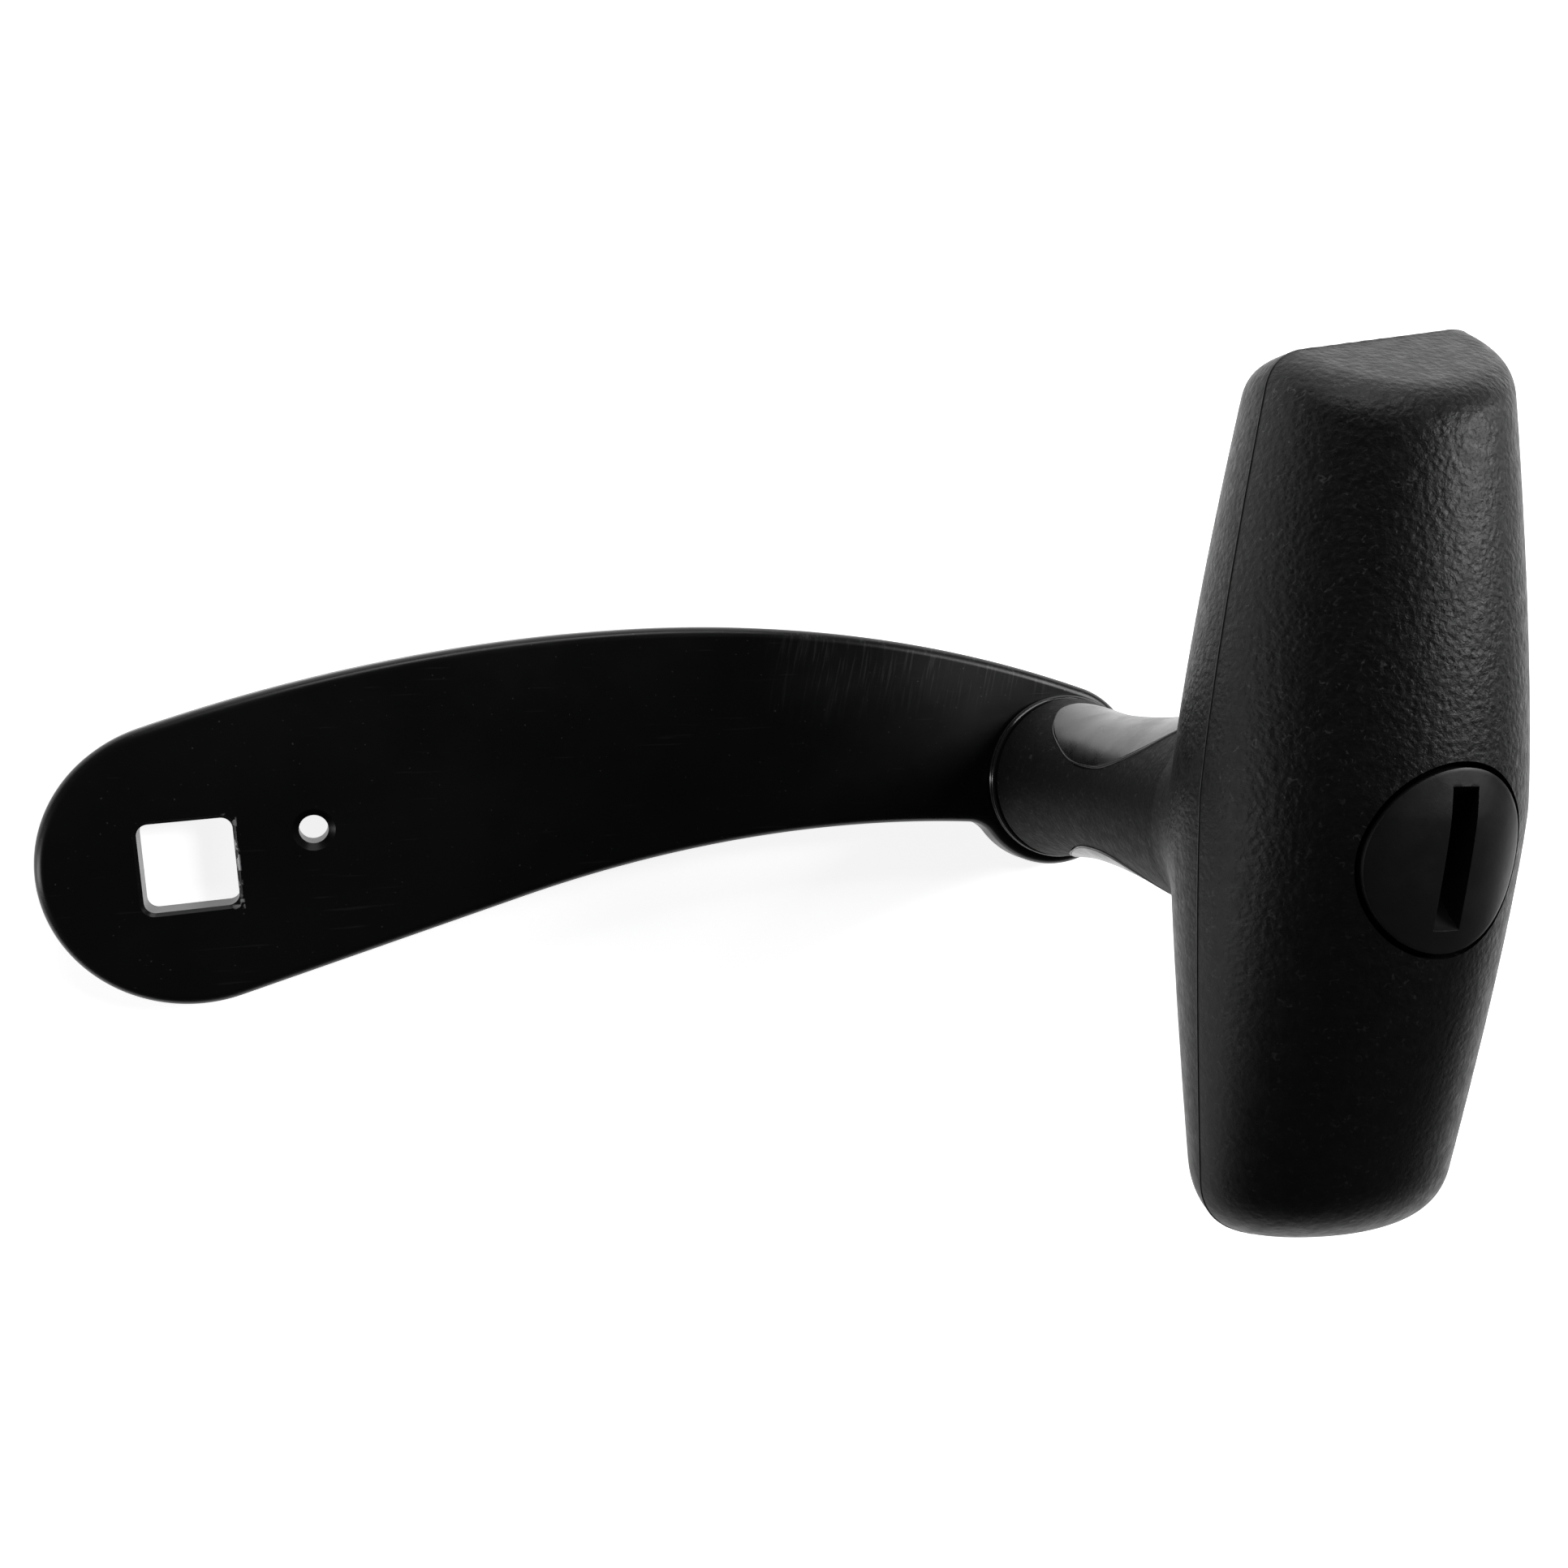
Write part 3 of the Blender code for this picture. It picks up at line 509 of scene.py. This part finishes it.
def turned_steel(name, colour, roughness, tool_marks):
    """Bright turned metal with fine rings left by the tool."""
    look = Look(name, colour, 1.0, roughness)
    look.rough(look.ramp(look.noise(400.0, 3.0), 0.3, 0.7, roughness - 0.06, roughness + 0.10))
    rings = look.noise(3000.0, 2.0, 0.5, look.stretched((0.05, 0.05, 1.0), centre=(THROW, 0.0, 0.0)))
    look.bump(rings, tool_marks)
    look.bump(look.noise(5000.0, 2.0), 0.0000008)
    return look


def turned_acetal():
    """Glossy black plastic, turned, with faint rings."""
    look = Look("turned_acetal", (0.010, 0.010, 0.0105), 0.0, 0.20, 0.6)
    look.rough(look.ramp(look.noise(500.0, 3.0), 0.3, 0.7, 0.14, 0.24))
    rings = look.noise(2600.0, 2.0, 0.5, look.stretched((0.04, 0.04, 1.0), centre=(THROW, 0.0, 0.0)))
    look.bump(rings, 0.000005)
    return look


def rubbery(name, colour, roughness):
    """Dull black rubber or thin nylon flash."""
    look = Look(name, colour, 0.0, roughness)
    look.rough(look.ramp(look.noise(900.0, 3.0), 0.3, 0.7, roughness - 0.08, roughness + 0.08))
    look.bump(look.noise(4000.0, 3.0), 0.000006)
    return look


stainless = turned_steel("turned_stainless", (0.56, 0.56, 0.54), 0.26, 0.000004)
ground_steel = turned_steel("ground_bearing_steel", (0.62, 0.62, 0.62), 0.16, 0.000001)
cage_brass = turned_steel("pressed_cage_brass", (0.68, 0.50, 0.23), 0.32, 0.000003)
sleeve_black = turned_steel("anodised_sleeve", (0.03, 0.03, 0.032), 0.34, 0.000004)
seal_rubber = rubbery("seal_rubber", (0.006, 0.006, 0.006), 0.62)
stainless.on(rear_screw)
turned_acetal().on(thrust_ring)
inner_looks = {"spindle": stainless, "retaining_washer": stainless, "retaining_screw": stainless,
               "spacer_sleeve": sleeve_black, "cap_o_ring": seal_rubber}
for node, look in inner_looks.items():
    look.on(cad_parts[node])
for node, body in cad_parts.items():
    if "_bearing_" in node:
        (cage_brass if node.endswith("_cage") else ground_steel).on(body)


# ---- T-bar grip ----------------------------------------------------------
# One moulding of soft black nylon: an oval bar that is fullest over the spindle,
# its two ends drafted from the mould's parting line, and a round neck that flares
# into it.  GRIP's sizes are in millimetres, as on the mould's drawing.

KNOB_TURN = math.radians(-5.0)
MM = 0.001
VOXEL = 0.30
GRIP = {
    "Bar Height": 48.4, "Taper Length": 33.9, "Bar Shift": 3.3, "Taper Power": 1.35,
    "Half Width Middle": 13.4, "Half Width Upper": 9.43, "Half Width Lower": 10.8,
    "Front Middle": 12.2, "Back Middle": 13.2, "Depth Upper": 8.86, "Depth Lower": 6.44,
    "Upper Ridge": 34.93, "Upper Rise": 0.196, "Upper Front Draft": 0.55, "Upper Back Draft": 0.05,
    "Lower Ridge": 35.74, "Lower Rise": 0.016, "Lower Front Draft": 0.25, "Lower Back Draft": 0.25,
    "Upper Rounding": 2.4, "Lower Rounding": 5.25,
    "Waist Height": 16.0, "Waist Radius": 7.3, "Foot Height": 6.2, "Foot Radius": 8.4,
    "Flare Height": 43.0, "Flare Radius": 11.2, "Neck Blend": 1.6,
}
NECK_FOOT_Z = 0.0052
NECK_FOOT_R = 0.0084
FOOT_CHAMFER = 0.0005
# How far up and out the neck takes the grip material's lower-specular copy, which is painted shade.
SHADED_NECK_TO_Z = 0.0362
SHADED_NECK_TO_R = 0.0122
CORE_R = 0.0059
CORE_TOP = 0.0524
CAP_R = 0.0068
CAP_GAP = 0.00045
PAD_TURN = math.radians(12.0)
PAD_WIDE = 0.0062
PAD_TALL = 0.0135
PAD_MID_Z = 0.0218
PAD_GAP = 0.00012
knob_place = Matrix.Translation((THROW, 0.0, 0.0)) @ Matrix.Rotation(KNOB_TURN, 4, 'Z')


class Term:
    """A number field in a node tree, so that a shape's rule reads as plain arithmetic."""

    def __init__(self, tree, value):
        self.tree = tree
        self.value = value

    def joined(self, operation, *others):
        node = self.tree.nodes.new("ShaderNodeMath")
        node.operation = operation
        for slot, item in zip(node.inputs, (self, *others)):
            item = item.value if isinstance(item, Term) else item
            if isinstance(item, (int, float)):
                slot.default_value = item
            else:
                self.tree.links.new(item, slot)
        return Term(self.tree, node.outputs["Value"])

    def __add__(self, other):
        return self.joined('ADD', other)

    def __sub__(self, other):
        return self.joined('SUBTRACT', other)

    def __mul__(self, other):
        return self.joined('MULTIPLY', other)

    def __truediv__(self, other):
        return self.joined('DIVIDE', other)

    def __pow__(self, other):
        return self.joined('POWER', other)

    def above(self, other=0.0):
        return self.joined('GREATER_THAN', other)

    def at_least(self, other):
        return self.joined('MAXIMUM', other)

    def at_most(self, other):
        return self.joined('MINIMUM', other)

    def size(self):
        return self.joined('ABSOLUTE')

    def root(self):
        return self.joined('SQRT')

    def towards(self, other, share):
        return self + (other - self) * share

    def overlap(self, other, width):
        """How much two distances are alike within a blend width, squared and scaled for a soft corner."""
        near = ((self - other).size() * -1.0 + width).at_least(0.0) / width
        return near * near * width * 0.25

    def round_meet(self, other, width):
        """The region inside both, its corner rounded over."""
        return self.at_least(other) + self.overlap(other, width)

    def round_join(self, other, width):
        """The region inside either, its inner corner filled."""
        return self.at_most(other) - self.overlap(other, width)


def grip_tree():
    """Geometry Nodes that lay out the grip's body as distances and skin it."""
    tree = bpy.data.node_groups.new("t_bar_grip", 'GeometryNodeTree')
    tree.interface.new_socket("Geometry", in_out='OUTPUT', socket_type='NodeSocketGeometry')
    for name in (*GRIP, "Voxel"):
        tree.interface.new_socket(name, in_out='INPUT', socket_type='NodeSocketFloat')
    tree.interface.new_socket("Material", in_out='INPUT', socket_type='NodeSocketMaterial')
    start = tree.nodes.new("NodeGroupInput")
    size = {name: Term(tree, start.outputs[name]) for name in (*GRIP, "Voxel")}
    apart = tree.nodes.new("ShaderNodeSeparateXYZ")
    tree.links.new(tree.nodes.new("GeometryNodeInputPosition").outputs[0], apart.inputs[0])
    x, y, z = (Term(tree, apart.outputs[letter]) for letter in "XYZ")

    along = y - size["Bar Shift"]
    high = z - size["Bar Height"]
    taper = (along.size() / size["Taper Length"]) ** size["Taper Power"]
    upper = along.above()
    end_wide = size["Half Width Lower"].towards(size["Half Width Upper"], upper)
    wide = size["Half Width Middle"].towards(end_wide, taper)
    end_deep = size["Depth Lower"].towards(size["Depth Upper"], upper)
    front = size["Front Middle"].towards(end_deep, taper)
    back = size["Back Middle"].towards(end_deep, taper)
    deep = back.towards(front, high.above())
    oval = (((x / wide) ** 2.0 + (high / deep) ** 2.0).root() - 1.0) * wide.at_most(deep)
    ridge, rise, corner = (size[f"Lower {word}"].towards(size[f"Upper {word}"], upper)
                           for word in ("Ridge", "Rise", "Rounding"))
    front_draft, back_draft = (size[f"Lower {word} Draft"].towards(size[f"Upper {word} Draft"], upper)
                               for word in ("Front", "Back"))
    draft = back_draft.towards(front_draft, high.above())
    end = along.size() - ridge - x * rise + high.size() * draft
    bar = oval.round_meet(end, corner)

    flare = ((z - size["Waist Height"]) / (size["Flare Height"] - size["Waist Height"])).at_least(0.0)
    foot = ((size["Waist Height"] - z) / (size["Waist Height"] - size["Foot Height"])).at_least(0.0)
    radius = size["Waist Radius"] + (size["Flare Radius"] - size["Waist Radius"]) * flare * flare
    radius = radius + (size["Foot Radius"] - size["Waist Radius"]) * foot ** 1.6
    neck = ((x * x + y * y).root() - radius).at_least(z - size["Flare Height"] - 0.5)
    solid = bar.round_join(neck, size["Neck Blend"])

    low_corner = tree.nodes.new("ShaderNodeCombineXYZ")
    high_corner = tree.nodes.new("ShaderNodeCombineXYZ")
    reach = size["Half Width Middle"] + 2.0
    ends = size["Lower Ridge"] + 4.0
    tree.links.new((reach * -1.0).value, low_corner.inputs[0])
    tree.links.new((size["Bar Shift"] - ends).value, low_corner.inputs[1])
    low_corner.inputs[2].default_value = 3.0
    tree.links.new(reach.value, high_corner.inputs[0])
    tree.links.new((size["Bar Shift"] + ends).value, high_corner.inputs[1])
    tree.links.new((size["Bar Height"] + size["Front Middle"] + 2.0).value, high_corner.inputs[2])
    block = tree.nodes.new("GeometryNodeVolumeCube")
    block.inputs["Background"].default_value = -1.0
    tree.links.new((solid * -1.0).value, block.inputs["Density"])
    tree.links.new(low_corner.outputs[0], block.inputs["Min"])
    tree.links.new(high_corner.outputs[0], block.inputs["Max"])
    spans = (reach * 2.0, ends * 2.0, size["Bar Height"] + size["Front Middle"] - 1.0)
    for letter, span in zip("XYZ", spans):
        tree.links.new((span / size["Voxel"]).value, block.inputs[f"Resolution {letter}"])
    skin = tree.nodes.new("GeometryNodeVolumeToMesh")
    skin.inputs["Threshold"].default_value = 0.0
    tree.links.new(block.outputs[0], skin.inputs["Volume"])
    scale = tree.nodes.new("GeometryNodeTransform")
    scale.inputs["Scale"].default_value = (MM, MM, MM)
    tree.links.new(skin.outputs["Mesh"], scale.inputs["Geometry"])
    real = tree.nodes.new("GeometryNodeRealizeInstances")
    tree.links.new(scale.outputs[0], real.inputs[0])
    paint = tree.nodes.new("GeometryNodeSetMaterial")
    tree.links.new(real.outputs[0], paint.inputs["Geometry"])
    tree.links.new(start.outputs["Material"], paint.inputs["Material"])
    tree.links.new(paint.outputs[0], tree.nodes.new("NodeGroupOutput").inputs[0])
    return tree


def grown(name, tree, values, source=None):
    """Run a Geometry Nodes tree with named values and keep its result as a plain mesh."""
    body = add_object(name, source or bpy.data.meshes.new(name))
    grow = body.modifiers.new("grow", 'NODES')
    grow.node_group = tree
    for item in tree.interface.items_tree:
        if item.in_out == 'INPUT' and item.name in values:
            grow[item.identifier] = values[item.name]
    return settled(body)


def soft_grip(name, specular):
    """Leathery moulded nylon, grainiest at the bar's upper end and worn dull down the neck."""
    look = Look(name, (0.0058, 0.0058, 0.0060), 0.0, 0.50, specular)
    upper = look.ramp(look.axis("Y"), -0.022, 0.016, 0.35, 1.0)
    pits = look.cells(2100.0, feature='SMOOTH_F1')
    fine = look.noise(3300.0, 3.0, 0.6, distortion=0.5)
    patchy = look.ramp(look.noise(260.0, 3.0), 0.35, 0.65, 0.3, 1.0)
    flecks = look.ramp(look.noise(2100.0, 2.0, 0.55, distortion=1.0), 0.61, 0.72)
    flecks = look.maths('MULTIPLY', look.maths('MULTIPLY', flecks, patchy), upper)
    look.tint(look.maths('MULTIPLY', flecks, 0.75), (0.062, 0.062, 0.063))
    dull_neck = look.ramp(look.axis("Z"), 0.035, 0.043, 0.22, 0.0)
    look.rough(look.maths('ADD', look.ramp(look.noise(900.0, 3.0), 0.3, 0.7, 0.36, 0.46), dull_neck))
    look.bump(look.maths('MULTIPLY', pits, upper), 0.00008, 0.8)
    look.bump(look.maths('MULTIPLY', fine, upper), 0.00007, 0.8)
    look.bump(look.noise(6200.0, 2.0), 0.000006)
    return look


grip_look = soft_grip("black_soft_grip", 0.21)
# Painted shade: the neck gets a copy of the grip material with weaker specular reflection, so that it reads
# darker.
neck_shade_look = soft_grip("shaded_neck_grip", 0.12)
grip = grown("grip_body", grip_tree(), {**GRIP, "Voxel": VOXEL, "Material": grip_look.material})
core_hollow = turned("core_hollow", [
    (0.0, CORE_TOP + FIT_GAP),
    (CORE_R + FIT_GAP, CORE_TOP + FIT_GAP),
    (CORE_R + FIT_GAP, 0.001),
    (0.0, 0.001),
])
cap_well = turned("cap_well", [
    (0.0, 0.070),
    (CAP_R + CAP_GAP, 0.070),
    (CAP_R + CAP_GAP, CORE_TOP - 0.0002),
    (0.0, CORE_TOP - 0.0002),
], steps=128)
foot_trim = turned("foot_trim", [
    (NECK_FOOT_R + 0.004, 0.001),
    (0.0, 0.001),
    (0.0, NECK_FOOT_Z),
    (NECK_FOOT_R - FOOT_CHAMFER, NECK_FOOT_Z),
    (NECK_FOOT_R - 0.0001, NECK_FOOT_Z + FOOT_CHAMFER),
    (NECK_FOOT_R + 0.004, NECK_FOOT_Z + FOOT_CHAMFER),
], steps=128)


def pad_prism(name, gap, inner=-0.012, outer=0.012):
    """An oval bar straight through the neck, whose two ends are the neck's pads."""
    sections = []
    for y in (inner, outer):
        angles = [2.0 * math.pi * i / 96 for i in range(96)]
        sections.append([((PAD_WIDE + gap) * math.cos(a), y, PAD_MID_Z + (PAD_TALL + gap) * math.sin(a))
                         for a in angles])
    return loft(name, sections, turned_by=PAD_TURN)


def welded(body):
    """Close the hairline splits and collapse the slivers that cutting leaves."""
    shape = bmesh.new()
    shape.from_mesh(body.data)
    bmesh.ops.remove_doubles(shape, verts=shape.verts, dist=0.000002)
    bmesh.ops.dissolve_degenerate(shape, edges=shape.edges, dist=0.000001)
    shape.to_mesh(body.data)
    shape.free()
    return body


grip = welded(cut(grip, core_hollow, cap_well, foot_trim, pad_prism("pad_windows", PAD_GAP)))
grip.data.transform(knob_place)
shaded(grip, 42.0).modifiers.clear()
grip.name = "finished_grip"
grip_look.on(grip)
grip.data.materials.append(neck_shade_look.material)
# The neck's faces below the bar take the darker-reflecting copy, as painted shade.
for face in grip.data.polygons:
    off_axis = math.hypot(face.center.x - THROW, face.center.y)
    face.material_index = int(face.center.z < SHADED_NECK_TO_Z and off_axis < SHADED_NECK_TO_R)
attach(grip, "knob")
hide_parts("t_bar_grip")


def parting_line(body, height):
    """The outline of a body at one height, without the bore's, as a mesh of edges."""
    shape = bmesh.new()
    shape.from_mesh(body.data)
    level = Vector((0.0, 0.0, height))
    everything = shape.verts[:] + shape.edges[:] + shape.faces[:]
    crossed = bmesh.ops.bisect_plane(shape, geom=everything, plane_co=level, plane_no=(0.0, 0.0, 1.0))
    kept = {item for item in crossed["geom_cut"] if isinstance(item, bmesh.types.BMEdge)
            and math.hypot(item.verts[0].co.x - THROW, item.verts[0].co.y) > CORE_R + 0.002}
    bmesh.ops.delete(shape, geom=[edge for edge in shape.edges if edge not in kept], context='EDGES_FACES')
    bmesh.ops.delete(shape, geom=[vert for vert in shape.verts if not vert.link_edges], context='VERTS')
    mesh = bpy.data.meshes.new("parting_line")
    shape.to_mesh(mesh)
    shape.free()
    return mesh


def bead_tree():
    """Geometry Nodes that run a thin uneven bead of flash along a line."""
    tree = bpy.data.node_groups.new("flash_bead", 'GeometryNodeTree')
    tree.interface.new_socket("Geometry", in_out='OUTPUT', socket_type='NodeSocketGeometry')
    tree.interface.new_socket("Geometry", in_out='INPUT', socket_type='NodeSocketGeometry')
    for name in ("Thickness", "Spacing", "Unevenness", "Seed"):
        tree.interface.new_socket(name, in_out='INPUT', socket_type='NodeSocketFloat')
    tree.interface.new_socket("Material", in_out='INPUT', socket_type='NodeSocketMaterial')
    start = tree.nodes.new("NodeGroupInput")
    line = tree.nodes.new("GeometryNodeMeshToCurve")
    tree.links.new(start.outputs["Geometry"], line.inputs["Mesh"])
    spaced = tree.nodes.new("GeometryNodeResampleCurve")
    spaced.mode = 'LENGTH'
    tree.links.new(line.outputs["Curve"], spaced.inputs["Curve"])
    tree.links.new(start.outputs["Spacing"], spaced.inputs["Length"])
    patchy = tree.nodes.new("ShaderNodeTexNoise")
    patchy.noise_dimensions = '4D'
    patchy.inputs["Scale"].default_value = 700.0
    tree.links.new(start.outputs["Seed"], patchy.inputs["W"])
    thick = Term(tree, patchy.outputs["Fac"]) * Term(tree, start.outputs["Unevenness"]) + 1.0
    sized = tree.nodes.new("GeometryNodeSetCurveRadius")
    tree.links.new(spaced.outputs["Curve"], sized.inputs["Curve"])
    tree.links.new((thick * Term(tree, start.outputs["Thickness"]) * 0.5).value, sized.inputs["Radius"])
    circle = tree.nodes.new("GeometryNodeCurvePrimitiveCircle")
    circle.inputs["Resolution"].default_value = 6
    circle.inputs["Radius"].default_value = 1.0
    tube = tree.nodes.new("GeometryNodeCurveToMesh")
    tree.links.new(sized.outputs["Curve"], tube.inputs["Curve"])
    tree.links.new(circle.outputs["Curve"], tube.inputs["Profile Curve"])
    if "Scale" in tube.inputs:
        tree.links.new((thick * Term(tree, start.outputs["Thickness"]) * 0.5).value, tube.inputs["Scale"])
    real = tree.nodes.new("GeometryNodeRealizeInstances")
    tree.links.new(tube.outputs["Mesh"], real.inputs[0])
    paint = tree.nodes.new("GeometryNodeSetMaterial")
    tree.links.new(real.outputs[0], paint.inputs["Geometry"])
    tree.links.new(start.outputs["Material"], paint.inputs["Material"])
    tree.links.new(paint.outputs[0], tree.nodes.new("NodeGroupOutput").inputs[0])
    return tree


flash_look = rubbery("flash_line", (0.014, 0.014, 0.0145), 0.34)
bead = bead_tree()
seam = grown("parting_seam", bead, {"Thickness": 0.00011, "Spacing": 0.0005, "Unevenness": 0.9,
                                    "Seed": 5.0, "Material": flash_look.material},
             parting_line(grip, GRIP["Bar Height"] * MM))
seam.data.shade_smooth()
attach(seam, "knob")


# ---- neck core and its two glossy pads -----------------------------------
# A hard nylon tube with both bearings pressed into it.  Two oval pads of the same
# nylon stand out through windows in the grip, with a thin line of flash round each.

BEARING_R = 0.00505
CORE_BORE_R = 0.0044
LOWER_POCKET_TOP = 0.0107
UPPER_POCKET_FLOOR = 0.0379
PAD_PROUD = 0.00012


def neck_radius(z):
    """The neck's radius at a height, from the same waist, foot and flare as the grip."""
    mm = z / MM
    flare = max(0.0, (mm - GRIP["Waist Height"]) / (GRIP["Flare Height"] - GRIP["Waist Height"]))
    foot = max(0.0, (GRIP["Waist Height"] - mm) / (GRIP["Waist Height"] - GRIP["Foot Height"]))
    radius = GRIP["Waist Radius"] + (GRIP["Flare Radius"] - GRIP["Waist Radius"]) * flare ** 2
    return (radius + (GRIP["Foot Radius"] - GRIP["Waist Radius"]) * foot ** 1.6) * MM


pad_heights = [PAD_MID_Z + (PAD_TALL + 0.001) * (1.0 - i / 20.0) for i in range(41)]
pad_skin = turned("pad_skin", [(0.0, pad_heights[0])]
                  + [(neck_radius(z) + PAD_PROUD, z) for z in pad_heights]
                  + [(0.0, pad_heights[-1])], steps=160)
pads = cut(pad_prism("neck_pads", 0.0), pad_skin, operation='INTERSECT')
core = turned("core_tube", [
    (0.0, CORE_TOP), (CORE_R, CORE_TOP), (CORE_R, NECK_FOOT_Z + 0.0002), (0.0, NECK_FOOT_Z + 0.0002)])
core = cut(core, pads, operation='UNION')
core = cut(core, turned("core_bore", [
    (0.0, CORE_TOP + 0.001), (BEARING_R, CORE_TOP + 0.001), (BEARING_R, UPPER_POCKET_FLOOR),
    (CORE_BORE_R, UPPER_POCKET_FLOOR), (CORE_BORE_R, LOWER_POCKET_TOP), (BEARING_R, LOWER_POCKET_TOP),
    (BEARING_R, 0.004), (0.0, 0.004)]))
core.data.transform(knob_place)
core = shaded(core, 30.0)
core.name = "finished_core"
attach(core, "knob")
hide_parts("knob_core")


def hard_nylon(name, low, high, grain):
    """Smooth moulded nylon with faint flow marks."""
    look = Look(name, (0.0065, 0.0065, 0.0068), 0.0, low, 0.5)
    look.rough(look.ramp(look.noise(260.0, 4.0), 0.35, 0.7, low, high))
    look.bump(look.noise(420.0, 3.0, 0.5), 0.00002)
    look.bump(look.noise(3800.0, 2.0), grain)
    return look


hard_nylon("glossy_pad_nylon", 0.22, 0.34, 0.0000015).on(core)


def closed_line(name, points):
    mesh = bpy.data.meshes.new(name)
    mesh.from_pydata(points, [(i, (i + 1) % len(points)) for i in range(len(points))], [])
    return mesh


def pad_border(side):
    """The window's edge on the neck, on one side of it."""
    points = []
    for i in range(180):
        angle = 2.0 * math.pi * i / 180
        ragged = 1.006 + 0.009 * math.sin(5.0 * angle + side) + 0.005 * math.sin(13.0 * angle)
        across = PAD_WIDE * ragged * math.cos(angle)
        height = PAD_MID_Z + PAD_TALL * ragged * math.sin(angle)
        out = side * math.sqrt(max(0.0, neck_radius(height) ** 2 - across ** 2))
        points.append(Matrix.Rotation(PAD_TURN, 4, 'Z') @ Vector((across, out, height)))
    return points


for word, side in (("upper", 1.0), ("lower", -1.0)):
    border = grown(f"{word}_pad_flash", bead,
                   {"Thickness": 0.00016, "Spacing": 0.0002, "Unevenness": 1.2, "Seed": side,
                    "Material": flash_look.material},
                   closed_line(f"{word}_pad_border", pad_border(side)))
    border.data.transform(knob_place)
    border.data.shade_smooth()
    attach(border, "knob")


# ---- slotted cap -----------------------------------------------------------
# A hard nylon plug that screws into the top of the core and covers the upper
# bearing.  Its face carries on the bar's curve, and a coin slot crosses it.

CAP_PROUD = 0.0001
CAP_FLOOR_Z = 0.0541
SPIGOT_R = 0.0046
SPIGOT_END = 0.0470
SLOT_WIDE = 0.0023
SLOT_LONG = 0.0108
SLOT_DEEP = 0.0034


def bar_face(x, y):
    """Height of the bar's front over a point of the knob, in metres."""
    along = (y / MM) - GRIP["Bar Shift"]
    taper = (abs(along) / GRIP["Taper Length"]) ** GRIP["Taper Power"]
    end_wide = GRIP["Half Width Upper"] if along > 0.0 else GRIP["Half Width Lower"]
    end_deep = GRIP["Depth Upper"] if along > 0.0 else GRIP["Depth Lower"]
    wide = GRIP["Half Width Middle"] + (end_wide - GRIP["Half Width Middle"]) * taper
    front = GRIP["Front Middle"] + (end_deep - GRIP["Front Middle"]) * taper
    return (GRIP["Bar Height"] + front * math.sqrt(1.0 - (x / MM / wide) ** 2)) * MM


def cap_ring(radius, height=None, steps=128):
    """A ring of points, flat at a height or laid on the bar's face."""
    points = []
    for i in range(steps):
        angle = 2.0 * math.pi * i / steps
        x, y = radius * math.cos(angle), radius * math.sin(angle)
        points.append((x, y, bar_face(x, y) + CAP_PROUD if height is None else height))
    return points


cap = loft("cap", [cap_ring(SPIGOT_R - 0.0003, SPIGOT_END), cap_ring(SPIGOT_R, SPIGOT_END + 0.0003),
                   cap_ring(SPIGOT_R, CAP_FLOOR_Z), cap_ring(CAP_R, CAP_FLOOR_Z)]
           + [cap_ring(CAP_R * (1.0 - i / 26.0)) for i in range(26)])
slot_r = ((SLOT_LONG / 2.0) ** 2 + SLOT_DEEP ** 2) / (2.0 * SLOT_DEEP)
slot_mid = bar_face(0.0, 0.0) + CAP_PROUD - SLOT_DEEP + slot_r
slot_rim = [(slot_r * math.cos(2.0 * math.pi * i / 160), slot_r * math.sin(2.0 * math.pi * i / 160))
            for i in range(160)]
slot_cutter = loft("slot_cutter", [[(x, a, slot_mid + b) for a, b in slot_rim]
                                   for x in (-SLOT_WIDE / 2.0, SLOT_WIDE / 2.0)])
cap = cut(cap, slot_cutter)
cap.data.transform(knob_place)
cap = rounded(cap, 0.00020, segments=3, over_degrees=50.0)
cap.name = "finished_cap"
hard_nylon("satin_cap_nylon", 0.32, 0.40, 0.000004).on(cap)
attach(cap, "cap")
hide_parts("slotted_cap")
